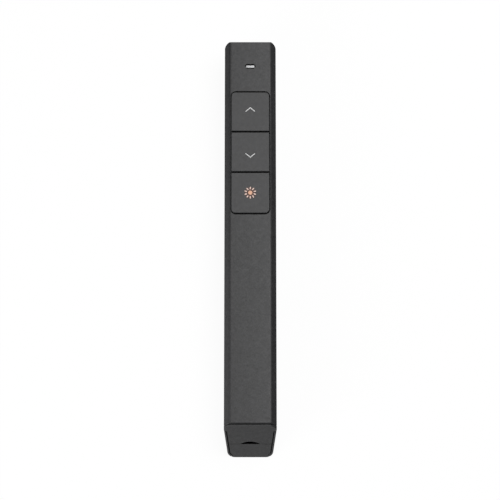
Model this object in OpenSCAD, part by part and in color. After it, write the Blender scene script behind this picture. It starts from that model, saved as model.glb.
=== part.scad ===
// Wireless presentation clicker lying on its flat back.
// X is the width, +Y points to the laser nose, -Y to the slanted tail, +Z is the key side.
// The origin is the middle of the back face's bounding box.

/* [Body] */
// Length from the nose to the lower edge of the tail
body_l = 143; // [130:0.5:165]
// Width across the long side edges
body_w = 17.7; // [17.4:0.1:22]
// Height from the back to the key face
body_h = 15; // [15:0.1:17]
// Wall of both shells
wall = 1.2; // [1:0.05:1.3]
// Wall at the nose, which carries the laser window
nose_wall = 1.8; // [1.6:0.1:2.4]
// Depth of the front shell, from the key face to the parting line
front_shell_h = 3.2; // [3:0.1:3.6]
// Width and height of the slope along the front edges
edge_slope = 1.8; // [1.5:0.05:2]
// Inward lean of the side walls towards the back, degrees
side_draft = 5.9; // [4:0.1:6.2]
// Radius of the two long back edges
back_r = 2.6; // [2:0.1:3.2]
// Radius where the slope meets the side wall
side_edge_r = 0.5; // [0.2:0.1:0.8]
// Radius where the slope meets the key face
face_edge_r = 1.6; // [0.2:0.1:2]
// Radius of the nose corners
nose_r = 2.3; // [1.5:0.1:2.6]
// Radius of the nose's edge with the key face
nose_face_r = 0.4; // [0.2:0.1:0.8]
// Radius of the nose's edge with the back
nose_back_r = 1; // [0.4:0.1:1.6]
// Depth of the shadow groove along the parting line
parting_groove = 0.15; // [0.1:0.05:0.25]
// Height of the tongue that locates the shells on each other
tongue_h = 0.7; // [0.4:0.1:0.8]
// Thickness of that tongue
tongue_t = 0.5; // [0.4:0.05:0.6]

/* [Tail] */
// Slant of the tail face from square, degrees
tail_slant = 29.2; // [20:0.1:32]
// Radius where the front shell rolls down to the receiver cap
front_end_r = 0.9; // [0.5:0.1:1.4]
// Thickness of the receiver cap at its upper edge
cap_lip = 0.25; // [0.2:0.05:1]
// Seam between the front shell and the receiver cap
cap_seam = 0.12; // [0.1:0.02:0.4]
// Thickness of the receiver cap below its plug
cap_floor = 0.75; // [0.7:0.05:1.3]
// Seam between the receiver cap and the battery door
insert_seam = 0.12; // [0.1:0.02:0.3]
// Thickness of the side walls beside the two tail pieces
ear_t = 0.6; // [0.5:0.05:0.7]
// Gap between those walls and the tail pieces
ear_gap = 0.34; // [0.2:0.02:0.4]
// Radius of the fingernail notch
notch_r = 5.6; // [5:0.1:8]
// Rise of the fingernail notch above the cap's lower edge
notch_h = 1.05; // [0.6:0.05:1.2]
// Depth of the fingernail notch along the body
notch_depth = 1.6; // [1:0.1:2]
// Lip left in front of the pocket below the notch
pocket_lip = 0.15; // [0.1:0.05:0.4]

/* [Battery door] */
// Strip of rear shell beside the door at the widest level
door_side = 2.85; // [2.6:0.05:3]
// Gap between the door and the rear shell
door_gap = 0.2; // [0.15:0.05:0.3]
// Distance by which the door widens towards the back face, beyond that gap
door_flare_lap = 0.35; // [0.1:0.05:0.5]
// Thickness of the door with its rails
door_t = 2.1; // [2:0.05:2.2]
// Height at which the rails start
rail_z = 1.5; // [1.4:0.05:1.6]
// Reach of the rails beyond the door's sides
rail_w = 0.4; // [0.3:0.05:0.45]
// Length of the block that closes the tail
door_block_l = 6.9; // [6:0.1:7.2]
// Wall left around the hollow in that block
door_block_wall = 1.4; // [1.2:0.1:1.6]
// Number of grip ridges on the door
grip_count = 7; // [3:1:9]
// Distance between grip ridges
grip_pitch = 1.7; // [1.4:0.1:2.2]
// Width of a grip groove
grip_w = 0.8; // [0.5:0.1:1]
// Depth of a grip groove
grip_depth = 0.35; // [0.2:0.05:0.5]
// Length of a grip groove across the door
grip_l = 7.6; // [5:0.2:8]
// Distance of the first grip groove from the tail
grip_from_tail = 9; // [6:0.5:12]
// Width of the arrow recess that shows how the door slides
arrow_w = 3.6; // [2:0.2:5]

/* [Keys] */
// Distance from the nose to the seam above the first key
keys_from_nose = 18.21; // [16.5:0.01:18.4]
// Distance from the block of the front housing screw to the seam below the last key
keys_from_screw = 1.86; // [1.2:0.01:3]
// Length that the laser key has more than each of the other two
laser_key_extra = 0.25; // [0:0.05:1]
// Seam between two keys and at the ends of the group
key_seam = 0.42; // [0.3:0.02:0.6]
// Seam along the sides of the keys
key_side_seam = 0.3; // [0.2:0.02:0.4]
// Flat land left between the key opening and the slope
key_land = 0.2; // [0.1:0.05:0.4]
// Radius of the key opening's corners
key_corner_r = 2; // [1.2:0.1:2.6]
// Height of the keys above the key face
key_proud = 0.3; // [0.2:0.05:0.5]
// Radius of the keys' upper edges
key_edge_r = 0.25; // [0.1:0.05:0.4]
// Travel of a key
key_travel = 0.3; // [0.2:0.05:0.35]
// Thickness of a key's flange
key_flange_t = 0.6; // [0.5:0.05:0.7]
// Reach of a key's flange beyond the opening
key_flange_w = 0.35; // [0.25:0.05:0.4]
// Depth of a key from its top to the underside of its flange
key_depth = 3.1; // [3:0.05:3.3]
// Length of the post under a key
key_post_l = 0.6; // [0.5:0.05:0.8]
// Radius of that post
key_post_r = 1.4; // [1:0.1:1.6]
// Depth of the figures cut into the keys
figure_depth = 0.12; // [0.08:0.02:0.2]
// Half width of a chevron
chevron_half_w = 1.7; // [1:0.02:2.4]
// Rise of a chevron from its feet to its tip
chevron_rise = 1.45; // [1:0.05:2.4]
// Width of a chevron's stroke
chevron_stroke = 0.3; // [0.2:0.02:0.7]
// Distance of the up chevron's tip ahead of its key's middle
chevron_up_tip = 1.57; // [0:0.01:3]
// Distance of the down chevron's tip behind its key's middle
chevron_down_tip = 2.15; // [0:0.01:3]
// Distance of the sun's centre behind its key's middle
sun_drop = 0; // [-1:0.01:1]
// Radius of the sun's disc
sun_disc_r = 0.73; // [0.5:0.01:0.9]
// Radius at which the sun's rays start
sun_ray_r0 = 1.17; // [1.1:0.01:1.4]
// Radius at which the sun's rays end
sun_ray_r1 = 2.15; // [1.8:0.01:2.6]
// Width of a ray
sun_ray_w = 0.43; // [0.3:0.01:0.6]
// Number of rays
sun_rays = 10; // [8:1:12]

/* [Status lamp] */
// Distance from the nose to the middle of the lamp slot
lamp_from_nose = 8.92; // [8:0.01:9.4]
// Length of the light guide's tip across the body
lamp_w = 3; // [2:0.1:4]
// Width of the light guide's tip along the body
lamp_l = 1; // [0.8:0.05:1.4]
// Gap around the light guide's tip
lamp_gap = 0.31; // [0.15:0.01:0.35]
// Depth of the light guide's tip below the key face
lamp_sink = 0.3; // [0.1:0.05:0.5]

/* [Board] */
// Thickness of the main board
board_t = 1; // [0.8:0.05:1.2]
// Gap between the main board and the side walls
board_gap = 0.4; // [0.3:0.05:0.8]
// Height of a push switch's body with its cover
switch_h = 1.3; // [1.2:0.05:1.4]
// Length of each side of a push switch
switch_w = 5.2; // [4.5:0.1:6]
// Height of a switch plunger above its cover
plunger_h = 0.5; // [0.45:0.05:0.6]
// Radius of a switch plunger
plunger_r = 1.2; // [1:0.1:1.3]

/* [Laser] */
// Radius of the laser barrel
laser_r = 3; // [2.6:0.1:3.1]
// Length of the laser barrel
laser_l = 10.5; // [9:0.5:11]
// Radius of the opening in the nose
aperture_r = 1.8; // [1.4:0.1:2.2]
// Radius of the clear disc in the nose
window_r = 2.7; // [2.6:0.1:3.2]
// Thickness of the clear disc
window_t = 0.9; // [0.6:0.1:1]

/* [Battery] */
// Diameter of the cell, AAA size
cell_d = 10.5; // [10:0.1:10.6]
// Length of the cell with its terminal
cell_l = 44.5; // [42:0.5:44.5]
// Length of the compressed battery spring
spring_l = 2.8; // [2.2:0.1:3]
// Diameter of the spring's wire
spring_wire_d = 0.4; // [0.3:0.05:0.5]
// Turns of the battery spring
spring_turns = 4; // [3:1:5]
// Thickness of the contact plates and strips
contact_t = 0.3; // [0.2:0.05:0.35]

/* [Receiver] */
// Width of the USB plug
plug_w = 12; // [11.9:0.05:12.1]
// Height of the USB plug
plug_h = 4.5; // [4.4:0.05:4.5]
// Length of the USB plug in front of its cap
plug_l = 12; // [11.5:0.1:12]
// Sheet thickness of the plug's shell
plug_sheet = 0.3; // [0.25:0.05:0.35]
// Depth to which the plug's shell is held in its cap
plug_root_l = 1.6; // [1:0.1:1.8]
// Gap between the plug and its dock
dock_gap = 0.2; // [0.1:0.05:0.25]

/* [Screws] */
// Radius of the screws' shanks
screw_r = 0.85; // [0.7:0.05:0.9]
// Radius of the screws' heads
screw_head_r = 1.6; // [1.4:0.1:1.7]
// Height of the screws' heads
screw_head_h = 1.1; // [0.8:0.1:1.2]
// Length of a housing screw's shank
housing_screw_l = 6; // [5:0.5:6]
// Length of a board screw's shank
board_screw_l = 4; // [3:0.5:4.5]
// Distance of the board screws from the nose
board_screw_from_nose = 13.9; // [13:0.1:14.2]
// Distance of the board screws from the board's long edges
board_screw_edge = 2.14; // [2:0.02:2.3]

/* [Hidden] */
$fn = 48;

over = 5;            // reach of a cut beyond the surface it opens
slide_fit = 0.15;    // play between parts that slide past each other
seat_fit = 0.05;     // play between parts that are set into each other
bed = 0.1;           // depth to which joined shapes of one part run into each other
nose_y = body_l / 2;
tail_y = -body_l / 2;
split_z = body_h - front_shell_h;
slope_z = body_h - edge_slope;
face_half = body_w / 2 - edge_slope;

// Y of the slanted tail face at height z
function tail_plane_y(z) = tail_y + z * tan(tail_slant);
// Half width of the body at height z, on the leaning side wall
function side_x(z) = body_w / 2 - (slope_z - z) * tan(side_draft);
// Half width of the cavity at height z
function inner_x(z) = side_x(z) - wall / cos(side_draft);

cap_joint_y = tail_plane_y(body_h) + cap_lip;      // square face of the receiver cap
shell_end_y = cap_joint_y + cap_seam;              // square end of the front shell
insert_inset = ear_t + ear_gap;
door_half = body_w / 2 - door_side;
door_block_y = tail_y + door_block_l;
plug_top = split_z - dock_gap;
cap_bottom_z = plug_top - plug_h - cap_floor;
door_block_top = cap_bottom_z - insert_seam;

cross_wall = 1.1;                                  // walls and ribs across the inside
dock_end_y = cap_joint_y + plug_l + dock_gap + cross_wall;
post_r = screw_head_r + 0.5;                       // posts of the housing screws
boss_l = 2 * post_r;
boss_bottom = door_t + slide_fit;                  // blocks that those posts stand on
boss_drop = 3.8;                                   // from the parting line down to their tops
boss_top = split_z - boss_drop;
boss_floor = 1.2;                                  // their thickness above the screw heads
boss_seat = boss_top - boss_floor;
screw_tip_gap = 0.3;                               // room beyond the tips of the screws
tail_boss_y = dock_end_y + boss_l / 2;
bay_y0 = dock_end_y + boss_l;
cell_y0 = bay_y0 + contact_t + spring_l;
cell_y1 = cell_y0 + cell_l;
bay_y1 = cell_y1 + contact_t + seat_fit;
nose_boss_y = bay_y1 + cross_wall + boss_l / 2;
nose_boss_end_y = nose_boss_y + boss_l / 2;
door_end_y = nose_boss_end_y + 0.4;
door_way_half = door_half + door_gap;
door_flare = door_gap + door_flare_lap;            // no straight view past the door's sides
door_flare_h = ear_t + seat_fit;
door_hollow_sink = 0.3;                            // depth of the block's hollow into the door's plate
notch_half = sqrt(notch_h * (2 * notch_r - notch_h));
pocket_sink = 0.6;                                 // depth of the fingernail pocket below the block's roof
cell_z = boss_bottom + cell_d / 2;

keys_half = face_half - key_land;
// The keys fill the face between the front housing screw and the lamp
keys_y1 = nose_y - keys_from_nose;
keys_y0 = nose_boss_end_y + keys_from_screw;
key_pitch = (keys_y1 - keys_y0 - laser_key_extra) / 3;
key_tops = [keys_y1, keys_y1 - key_pitch, keys_y1 - 2 * key_pitch];
key_lengths = [key_pitch, key_pitch, key_pitch + laser_key_extra];
key_half = keys_half - key_side_seam;
key_inner_r = 0.15;                                // corners where two keys meet
key_top_z = body_h + key_proud;
key_bottom_z = key_top_z - key_depth;
key_rim_z = key_bottom_z + key_flange_t + 2 * seat_fit;
// Y of the middle of key k
function key_y(k) = key_tops[k] - key_lengths[k] / 2;

plunger_top = key_bottom_z - key_post_l;
cover_top = plunger_top - plunger_h;
board_top = cover_top - switch_h;
board_z = board_top - board_t;
board_y0 = nose_boss_end_y + 0.6;
snap_half = 3;                                     // snap hook behind the nose wall
snap_t = 1;
snap_h = 0.6;
snap_catch = 0.45;
snap_y1 = nose_y - nose_wall - slide_fit;
board_y1 = snap_y1 - snap_t - 2 * board_gap;
board_half = inner_x(board_z) - board_gap;
ledge_l = 2;                                       // ledges that carry the board's end
ledge_w = 1.5;
lamp_y = nose_y - lamp_from_nose;
laser_y1 = nose_y - nose_wall - 2 * slide_fit;
laser_y0 = laser_y1 - laser_l;
laser_z = (wall + board_z) / 2;                    // midway between the floor and the board
saddle_inset = 2.2;                                // from the barrel's ends to the ribs that carry it
board_screw_y = nose_y - board_screw_from_nose;
board_screw_x = board_half - board_screw_edge;
post_wall = 0.8;                                   // around the board screws
strip_z = board_top;                               // battery strips: level, height, width and foot
strip_h = 1.5;
strip_w = 0.7;
strip_lift = 0.2;
foot_l = 1.1;
strip_x = inner_x(strip_z) - strip_w;

plastic = [0.29, 0.29, 0.30];
key_plastic = [0.31, 0.31, 0.32];
steel = [0.72, 0.72, 0.70];
gold = [0.85, 0.66, 0.30];
board_green = [0.08, 0.32, 0.18];
chip_black = [0.08, 0.08, 0.09];
clear_white = [0.90, 0.92, 0.94];

// ---- Shapes that several parts use ----

function unit(v) = v / norm(v);

// Convex polygon whose corner i is rounded with radius r[i]: its tangent points are joined, and each
// corner gets a circle
module rounded(pts, r) {
    n = len(pts);
    back = [for (i = [0:n - 1]) unit(pts[(i + n - 1) % n] - pts[i])];
    ahead = [for (i = [0:n - 1]) unit(pts[(i + 1) % n] - pts[i])];
    half = [for (i = [0:n - 1]) acos(back[i] * ahead[i]) / 2];
    reach = [for (i = [0:n - 1]) r[i] / tan(half[i])];
    polygon([for (i = [0:n - 1]) for (e = r[i] > 0 ? [back[i], ahead[i]] : [[0, 0]]) pts[i] + e * reach[i]]);
    for (i = [0:n - 1]) if (r[i] > 0)
        translate(pts[i] + unit(back[i] + ahead[i]) * r[i] / sin(half[i])) circle(r[i]);
}

// Corners of a convex polygon whose sides all move inwards by d
function inset_corners(pts, d) = let (n = len(pts)) [for (i = [0:n - 1])
    let (a = unit(pts[i] - pts[(i + n - 1) % n]),
         b = unit(pts[(i + 1) % n] - pts[i]),
         na = [-a[1], a[0]],
         nb = [-b[1], b[0]])
    pts[i] + d * (na + nb) / (1 + na * nb)];

// Cross-section of the body, moved inwards by d
module body_section(d = 0) {
    corners = [[side_x(0), 0], [body_w / 2, slope_z], [face_half, body_h],
               [-face_half, body_h], [-body_w / 2, slope_z], [-side_x(0), 0]];
    radii = [back_r, side_edge_r, face_edge_r, face_edge_r, side_edge_r, back_r];
    rounded(inset_corners(corners, d), [for (r = radii) max(r - d, 0.1)]);
}

// Flat shape in X and Z carried from y0 to y1
module along_y(y0, y1)
    translate([0, y1, 0]) rotate([90, 0, 0]) linear_extrude(y1 - y0) children();

// Flat shape in Y and Z carried across the whole width
module across() {
    reach = body_w / 2 + over;
    translate([-reach, 0, 0]) rotate([90, 0, 90]) linear_extrude(2 * reach) children();
}

// Box between two corners
module block(low, high) translate(low) cube(high - low);

// Box that is centred on X
module mid_block(half_x, y0, y1, z0, z1) block([-half_x, y0, z0], [half_x, y1, z1]);

// Section of the door's plate up to height top, with flared sides at the back face
module door_section(half, top) {
    foot = half + door_flare;
    polygon([[foot, -over], [foot, 0], [half, door_flare_h], [half, top],
             [-half, top], [-half, door_flare_h], [-foot, 0], [-foot, -over]]);
}

// Cylinder along Y
module rod(r, y0, y1, z) translate([0, y1, z]) rotate([90, 0, 0]) cylinder(r = r, h = y1 - y0);

// Slot shape of width w and height h with round ends
module slot_shape(w, h) {
    square([w - h, h], center = true);
    for (s = [-1, 1]) translate([s * (w - h) / 2, 0]) circle(h / 2);
}

// Everything outside a nose corner's round, on the leaning side wall
module nose_corner_cut() {
    translate([side_x(0), nose_y, 0]) rotate([0, side_draft, 0]) difference() {
        block([-nose_r, -nose_r, -over], [over, over, body_h + over]);
        translate([-nose_r, -nose_r, -2 * over]) cylinder(r = nose_r, h = body_h + 4 * over);
    }
}

// Outer form of the body from y0, or from y0_top at the key face, to the nose
module body_block(y0 = tail_y, y0_top = tail_plane_y(body_h), end_r = 0) {
    difference() {
        intersection() {
            along_y(tail_y - over, nose_y + over) body_section();
            across() rounded([[y0, 0], [nose_y, 0], [nose_y, body_h], [y0_top, body_h]],
                             [0, nose_back_r, nose_face_r, end_r]);
        }
        nose_corner_cut();
        mirror([1, 0, 0]) nose_corner_cut();
    }
}

// Space inside the shells between y0 and y1
module cavity(y0, y1) along_y(y0, y1) body_section(wall);

// Box trimmed to the cavity, bedded a little into the walls
module in_cavity(y0, y1, z0, z1) intersection() {
    mid_block(body_w, y0, y1, z0, z1);
    along_y(y0 - 1, y1 + 1) body_section(wall / 2);
}

// ---- Shells ----

// Opening of the keys, larger by grow on each side
module key_opening(grow = 0) {
    half = keys_half + grow;
    y0 = keys_y0 - key_seam / 2 - grow;
    y1 = keys_y1 + key_seam / 2 + grow;
    translate([0, 0, split_z]) linear_extrude(2 * over)
        rounded([[half, y0], [half, y1], [-half, y1], [-half, y0]], [for (i = [0:3]) key_corner_r + grow]);
}

module front_housing() color(plastic) difference() {
    union() {
        difference() {
            intersection() {
                body_block(shell_end_y, shell_end_y, front_end_r);
                mid_block(body_w, tail_y, nose_y + over, split_z, body_h + over);
            }
            // cavity, with the dock's roof left solid
            cavity(dock_end_y, nose_y - nose_wall);
            // step for the rear shell's tongue
            intersection() {
                along_y(dock_end_y, nose_y - nose_wall) body_section(wall - tongue_t - seat_fit);
                mid_block(body_w, tail_y, nose_y, split_z - over, split_z + tongue_h + seat_fit);
            }
            // shadow groove along the parting line
            difference() {
                mid_block(body_w, tail_y, nose_y + over, split_z - over, split_z + parting_groove);
                along_y(tail_y, nose_y - parting_groove) body_section(parting_groove);
            }
        }
        // rim that holds the keys back
        intersection() {
            key_opening(key_flange_w);
            mid_block(body_w, tail_y, nose_y, key_rim_z, body_h - wall / 2);
            along_y(tail_y, nose_y) body_section(wall / 2);
        }
        // posts of the housing screws and of the board screws
        for (y = [tail_boss_y, nose_boss_y])
            translate([0, y, boss_top]) cylinder(r = post_r, h = body_h - wall / 2 - boss_top);
        for (s = [-1, 1])
            translate([s * board_screw_x, board_screw_y, board_top])
                cylinder(r = screw_r + post_wall, h = body_h - wall / 2 - board_top);
        // snap hook behind the nose wall
        mid_block(snap_half, snap_y1 - snap_t, snap_y1, board_top, body_h - wall / 2);
        mid_block(snap_half, snap_y1 - snap_t, snap_y1 + snap_catch, board_top, board_top + snap_h);
    }
    key_opening();
    // room for the cell
    rod(cell_d / 2 + slide_fit, bay_y0 + seat_fit, bay_y1 - seat_fit, cell_z);
    // slot of the status lamp
    translate([0, lamp_y, split_z]) linear_extrude(2 * over)
        slot_shape(lamp_w + 2 * lamp_gap, lamp_l + 2 * lamp_gap);
    // screw holes
    for (y = [tail_boss_y, nose_boss_y])
        translate([0, y, boss_top - over])
            cylinder(r = screw_r + seat_fit / 2, h = over + housing_screw_l - boss_floor + screw_tip_gap);
    for (s = [-1, 1])
        translate([s * board_screw_x, board_screw_y, board_top - over])
            cylinder(r = screw_r + seat_fit / 2, h = over + board_screw_l - board_t + screw_tip_gap);
}

// Block that a post of the front shell is screwed to at y, from y0 to y1
module screw_boss(y, y0, y1) difference() {
    in_cavity(y0, y1, boss_bottom, boss_top - seat_fit);
    translate([0, y, -over]) cylinder(r = screw_head_r + slide_fit, h = over + boss_seat);
    translate([0, y, boss_seat - over]) cylinder(r = screw_r + slide_fit, h = 2 * over);
}

module rear_housing() color(plastic) difference() {
    union() {
        difference() {
            intersection() {
                body_block();
                mid_block(body_w, tail_y - over, nose_y + over, -over, split_z);
            }
            cavity(shell_end_y + cross_wall, nose_y - nose_wall);
        }
        // tongue along both sides
        difference() {
            intersection() {
                along_y(dock_end_y + 1, nose_y - nose_wall - 1) body_section(wall - tongue_t);
                mid_block(body_w, tail_y, nose_y, split_z - wall, split_z + tongue_h);
            }
            along_y(tail_y, nose_y) body_section(wall);
        }
        // floor, sides and end of the receiver's dock
        in_cavity(shell_end_y, dock_end_y, cap_bottom_z, split_z - seat_fit);
        // blocks that carry the housing screws
        screw_boss(tail_boss_y, dock_end_y, bay_y0);
        screw_boss(nose_boss_y, bay_y1 + cross_wall, nose_boss_end_y);
        // wall behind the positive contact
        in_cavity(bay_y1, bay_y1 + cross_wall, boss_bottom, strip_z);
        // cradles beside the cell
        for (k = [1:3]) difference() {
            in_cavity(cell_y0 + k * cell_l / 4 - cross_wall / 2, cell_y0 + k * cell_l / 4 + cross_wall / 2,
                      boss_bottom, strip_z - contact_t);
            rod(cell_d / 2 + slide_fit, tail_y, nose_y, cell_z);
            mid_block(cell_d / 2 + slide_fit, tail_y, nose_y, 0, cell_z);
        }
        // ribs under the board at each key, and ledges under its end
        for (k = [0:2]) in_cavity(key_y(k) - wall / 2, key_y(k) + wall / 2, wall / 2, board_z - seat_fit);
        difference() {
            in_cavity(board_y0 - 2 * slide_fit, board_y0 + ledge_l, wall / 2, board_z - seat_fit);
            mid_block(board_half - ledge_w, tail_y, nose_y, 0, body_h);
        }
        // saddles under the laser barrel
        for (y = [laser_y0 + saddle_inset, laser_y1 - saddle_inset]) difference() {
            in_cavity(y - wall / 2, y + wall / 2, wall / 2, laser_z);
            rod(laser_r + seat_fit, tail_y, nose_y, laser_z);
        }
    }
    // room between the ears for the receiver cap and the battery door's block
    intersection() {
        along_y(tail_y - over, shell_end_y) body_section(ear_t);
        mid_block(body_w, tail_y - over, shell_end_y, cap_bottom_z - over, body_h + over);
    }
    along_y(tail_y - over, door_block_y + slide_fit) body_section(ear_t);
    // doorway, with the rebates that the door's rails run in
    along_y(tail_y - over, door_end_y + door_gap) door_section(door_way_half, boss_bottom);
    mid_block(door_way_half + rail_w - seat_fit, tail_y - over, door_end_y + door_gap,
              rail_z - 2 * seat_fit, boss_bottom);
    // dock that the plug slides into
    mid_block(plug_w / 2 + dock_gap, shell_end_y - over, dock_end_y - cross_wall,
              plug_top - plug_h - dock_gap, body_h);
    // opening in the nose, with the seat of its clear disc
    rod(aperture_r, nose_y - nose_wall - over, nose_y + over, laser_z);
    rod(window_r + seat_fit, nose_y - window_t - seat_fit, nose_y + over, laser_z);
    // recess for the snap hook
    mid_block(snap_half + 2 * slide_fit, nose_y - nose_wall - over, snap_y1 + snap_catch + slide_fit,
              board_top - slide_fit, board_top + snap_h + slide_fit);
    // way of the battery strips past the cross walls
    for (s = [-1, 1]) translate([s * strip_x, 0, 0])
        mid_block(strip_w, bay_y0, board_y0 + 2 * foot_l, strip_z - slide_fit, split_z + over);
}

// ---- Battery door ----

module battery_door() color(plastic) difference() {
    intersection() {
        body_block();
        union() {
            // plate and rails
            along_y(tail_y - over, door_end_y) door_section(door_half, door_t);
            mid_block(door_half + rail_w - 2 * seat_fit, tail_y - over, door_end_y, rail_z, door_t);
            // block that closes the tail
            intersection() {
                along_y(tail_y - over, door_block_y) body_section(insert_inset);
                mid_block(body_w, tail_y - over, door_block_y, 0, door_block_top);
            }
        }
    }
    // hollow in the block
    mid_block(door_half - door_block_wall, tail_plane_y(door_block_top - door_block_wall) + door_block_wall,
              door_block_y + over, door_t - door_hollow_sink, door_block_top - door_block_wall);
    // fingernail pocket below the receiver cap's notch
    mid_block(notch_half, tail_plane_y(door_block_top) + pocket_lip, tail_plane_y(cap_bottom_z) + notch_depth,
              door_block_top - door_block_wall - pocket_sink, door_block_top + over);
    // grip grooves and the arrow recess on the back
    for (k = [0:grip_count - 1])
        translate([0, tail_y + grip_from_tail + k * grip_pitch, grip_depth])
            mirror([0, 0, 1]) linear_extrude(over) slot_shape(grip_l, grip_w);
    translate([0, tail_y + grip_from_tail + grip_count * grip_pitch + grip_w, grip_depth])
        mirror([0, 0, 1]) linear_extrude(over)
            polygon([[0, 0], [arrow_w / 2, arrow_w / 2], [-arrow_w / 2, arrow_w / 2]]);
}

// ---- Keys ----

// Chevron with its tip at the origin, pointing to +Y
module chevron_shape() {
    dir = unit([chevron_half_w, chevron_rise]);
    foot = [chevron_half_w - chevron_stroke * dir[1], -chevron_rise - chevron_stroke * dir[0]];
    polygon([[0, 0], [chevron_half_w, -chevron_rise], foot, [0, -chevron_stroke / dir[0]],
             [-foot[0], foot[1]], [-chevron_half_w, -chevron_rise]]);
}

module sun_shape() {
    circle(sun_disc_r);
    for (i = [0:sun_rays - 1]) rotate(90 + i * 360 / sun_rays)
        translate([(sun_ray_r0 + sun_ray_r1) / 2, 0]) slot_shape(sun_ray_r1 - sun_ray_r0, sun_ray_w);
}

// Figure on key k, in X and Y
module key_figure(k) translate([0, key_y(k)]) {
    if (k == 0) translate([0, chevron_up_tip]) chevron_shape();
    if (k == 1) translate([0, -chevron_down_tip]) mirror([0, 1]) chevron_shape();
    if (k == 2) translate([0, -sun_drop]) sun_shape();
}

// Key k, with the group's corner radius where it is the first or the last of its row
module key(k) color(key_plastic) {
    y1 = key_tops[k] - key_seam / 2;
    y0 = key_tops[k] - key_lengths[k] + key_seam / 2;
    outer_r = key_corner_r - key_side_seam;
    r0 = k == 2 ? outer_r : key_inner_r;
    r1 = k == 0 ? outer_r : key_inner_r;
    edge_radii = [0, 0, key_edge_r, key_edge_r];
    difference() {
        intersection() {
            translate([0, 0, key_bottom_z]) linear_extrude(key_depth)
                rounded([[key_half, y0], [key_half, y1], [-key_half, y1], [-key_half, y0]], [r0, r1, r1, r0]);
            across() rounded([[y0, 0], [y1, 0], [y1, key_top_z], [y0, key_top_z]], edge_radii);
            along_y(y0, y1) rounded(
                [[-key_half, 0], [key_half, 0], [key_half, key_top_z], [-key_half, key_top_z]], edge_radii);
        }
        translate([0, 0, key_top_z - figure_depth]) linear_extrude(over) key_figure(k);
    }
    // flange under the rim of the opening
    mid_block(keys_half + key_flange_w, y0 - (k == 2 ? key_flange_w : 0), y1 + (k == 0 ? key_flange_w : 0),
              key_bottom_z, key_bottom_z + key_flange_t);
    // post that presses the switch
    translate([0, key_y(k), plunger_top]) cylinder(r = key_post_r, h = key_post_l + bed);
}

module button_up() key(0);
module button_down() key(1);
module button_laser() key(2);

// ---- Status lamp ----

guide_flange_t = 0.7;
guide_flange_w = 0.8;
guide_stem_w = lamp_w - 0.6;
guide_lift = 1;                                    // from the board to the guide's lower end
led_w = 2;
led_l = 1.2;
led_base_h = 0.5;
led_dome_h = 0.3;

// Straight piece of the light guide over the lamp, w wide and l long, from z0 to z1
module guide_piece(w, l, z0, z1) translate([0, lamp_y, z0]) linear_extrude(z1 - z0) slot_shape(w, l);

module led_window() color(clear_white) {
    flange_top = body_h - wall - seat_fit;
    flange_z = flange_top - guide_flange_t;
    guide_piece(lamp_w, lamp_l, flange_z, body_h - lamp_sink);
    guide_piece(lamp_w + 2 * guide_flange_w, lamp_l + 2 * guide_flange_w, flange_z, flange_top);
    guide_piece(guide_stem_w, lamp_l, board_top + guide_lift, flange_z + bed);
}

module status_led() color(clear_white) {
    dome_z0 = board_top + led_base_h;
    mid_block(led_w / 2, lamp_y - led_l / 2, lamp_y + led_l / 2, board_top, dome_z0);
    guide_piece(led_w - 2 * led_dome_h, led_l - led_dome_h, dome_z0, dome_z0 + led_dome_h);
}

// ---- Main board ----

module main_board() color(board_green) difference() {
    mid_block(board_half, board_y0, board_y1, board_z, board_top);
    for (s = [-1, 1]) translate([s * board_screw_x, board_screw_y, board_z - over])
        cylinder(r = screw_r + slide_fit, h = 2 * over);
    for (x = [-1, 0, 1]) translate([x * lead_pitch, lead_y, board_z - over])
        cylinder(r = lead_r + seat_fit, h = 2 * over);
}

chip_y = (key_y(0) + key_y(1)) / 2;
chip_half = 2.5;
chip_h = 0.9;
chip_dot_r = 0.3;                                  // round mark at the chip's first pin
chip_dot_inset = 0.7;
chip_dot_depth = 0.1;
crystal_y = (key_y(1) + key_y(2)) / 2;
crystal_l = 5;
crystal_w = 2.4;
crystal_h = 0.8;
capacitor_w = 0.8;
capacitor_l = 1.6;
capacitor_h = 0.7;
capacitor_x = board_half - board_screw_edge;

module radio_chip() color(chip_black) difference() {
    dot = chip_half - chip_dot_inset;
    mid_block(chip_half, chip_y - chip_half, chip_y + chip_half, board_z - chip_h, board_z);
    translate([-dot, chip_y - dot, board_z - chip_h])
        cylinder(r = chip_dot_r, h = 2 * chip_dot_depth, center = true);
}

module radio_crystal() color(steel)
    translate([0, crystal_y, board_z - crystal_h])
        linear_extrude(crystal_h) slot_shape(crystal_l, crystal_w);

module board_capacitors() color([0.62, 0.52, 0.40])
    for (x = [-capacitor_x, capacitor_x]) for (y = [chip_y, crystal_y, crystal_y + crystal_w])
        block([x - capacitor_w / 2, y - capacitor_l / 2, board_z - capacitor_h],
              [x + capacitor_w / 2, y + capacitor_l / 2, board_z]);

// ---- Push switches ----

cover_t = 0.2;
well_r = 1.9;
dome_t = 0.08;
dome_h = key_travel + 0.1;
plunger_root = cover_top - cover_t - dome_t;
dome_z = plunger_root - dome_h - 0.02;             // with a little air under the plunger
dome_sphere_r = (well_r * well_r + dome_h * dome_h) / (2 * dome_h);

// Square block on the switch of key k, inset on all four sides, from z0 to z1
module switch_block(k, inset, z0, z1) {
    half = switch_w / 2 - inset;
    mid_block(half, key_y(k) - half, key_y(k) + half, z0, z1);
}

module switch_base(k) color(chip_black) difference() {
    switch_block(k, cover_t, board_top, cover_top - cover_t);
    translate([0, key_y(k), dome_z]) cylinder(r = well_r + seat_fit, h = over);
}

module switch_dome(k) color(steel) translate([0, key_y(k), dome_z]) intersection() {
    cylinder(r = well_r, h = dome_h);
    translate([0, 0, dome_h - dome_sphere_r]) difference() {
        sphere(dome_sphere_r);
        sphere(dome_sphere_r - dome_t);
    }
}

module switch_plunger(k) color([0.75, 0.72, 0.66]) translate([0, key_y(k), plunger_root])
    cylinder(r = plunger_r, h = plunger_top - plunger_root);

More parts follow.
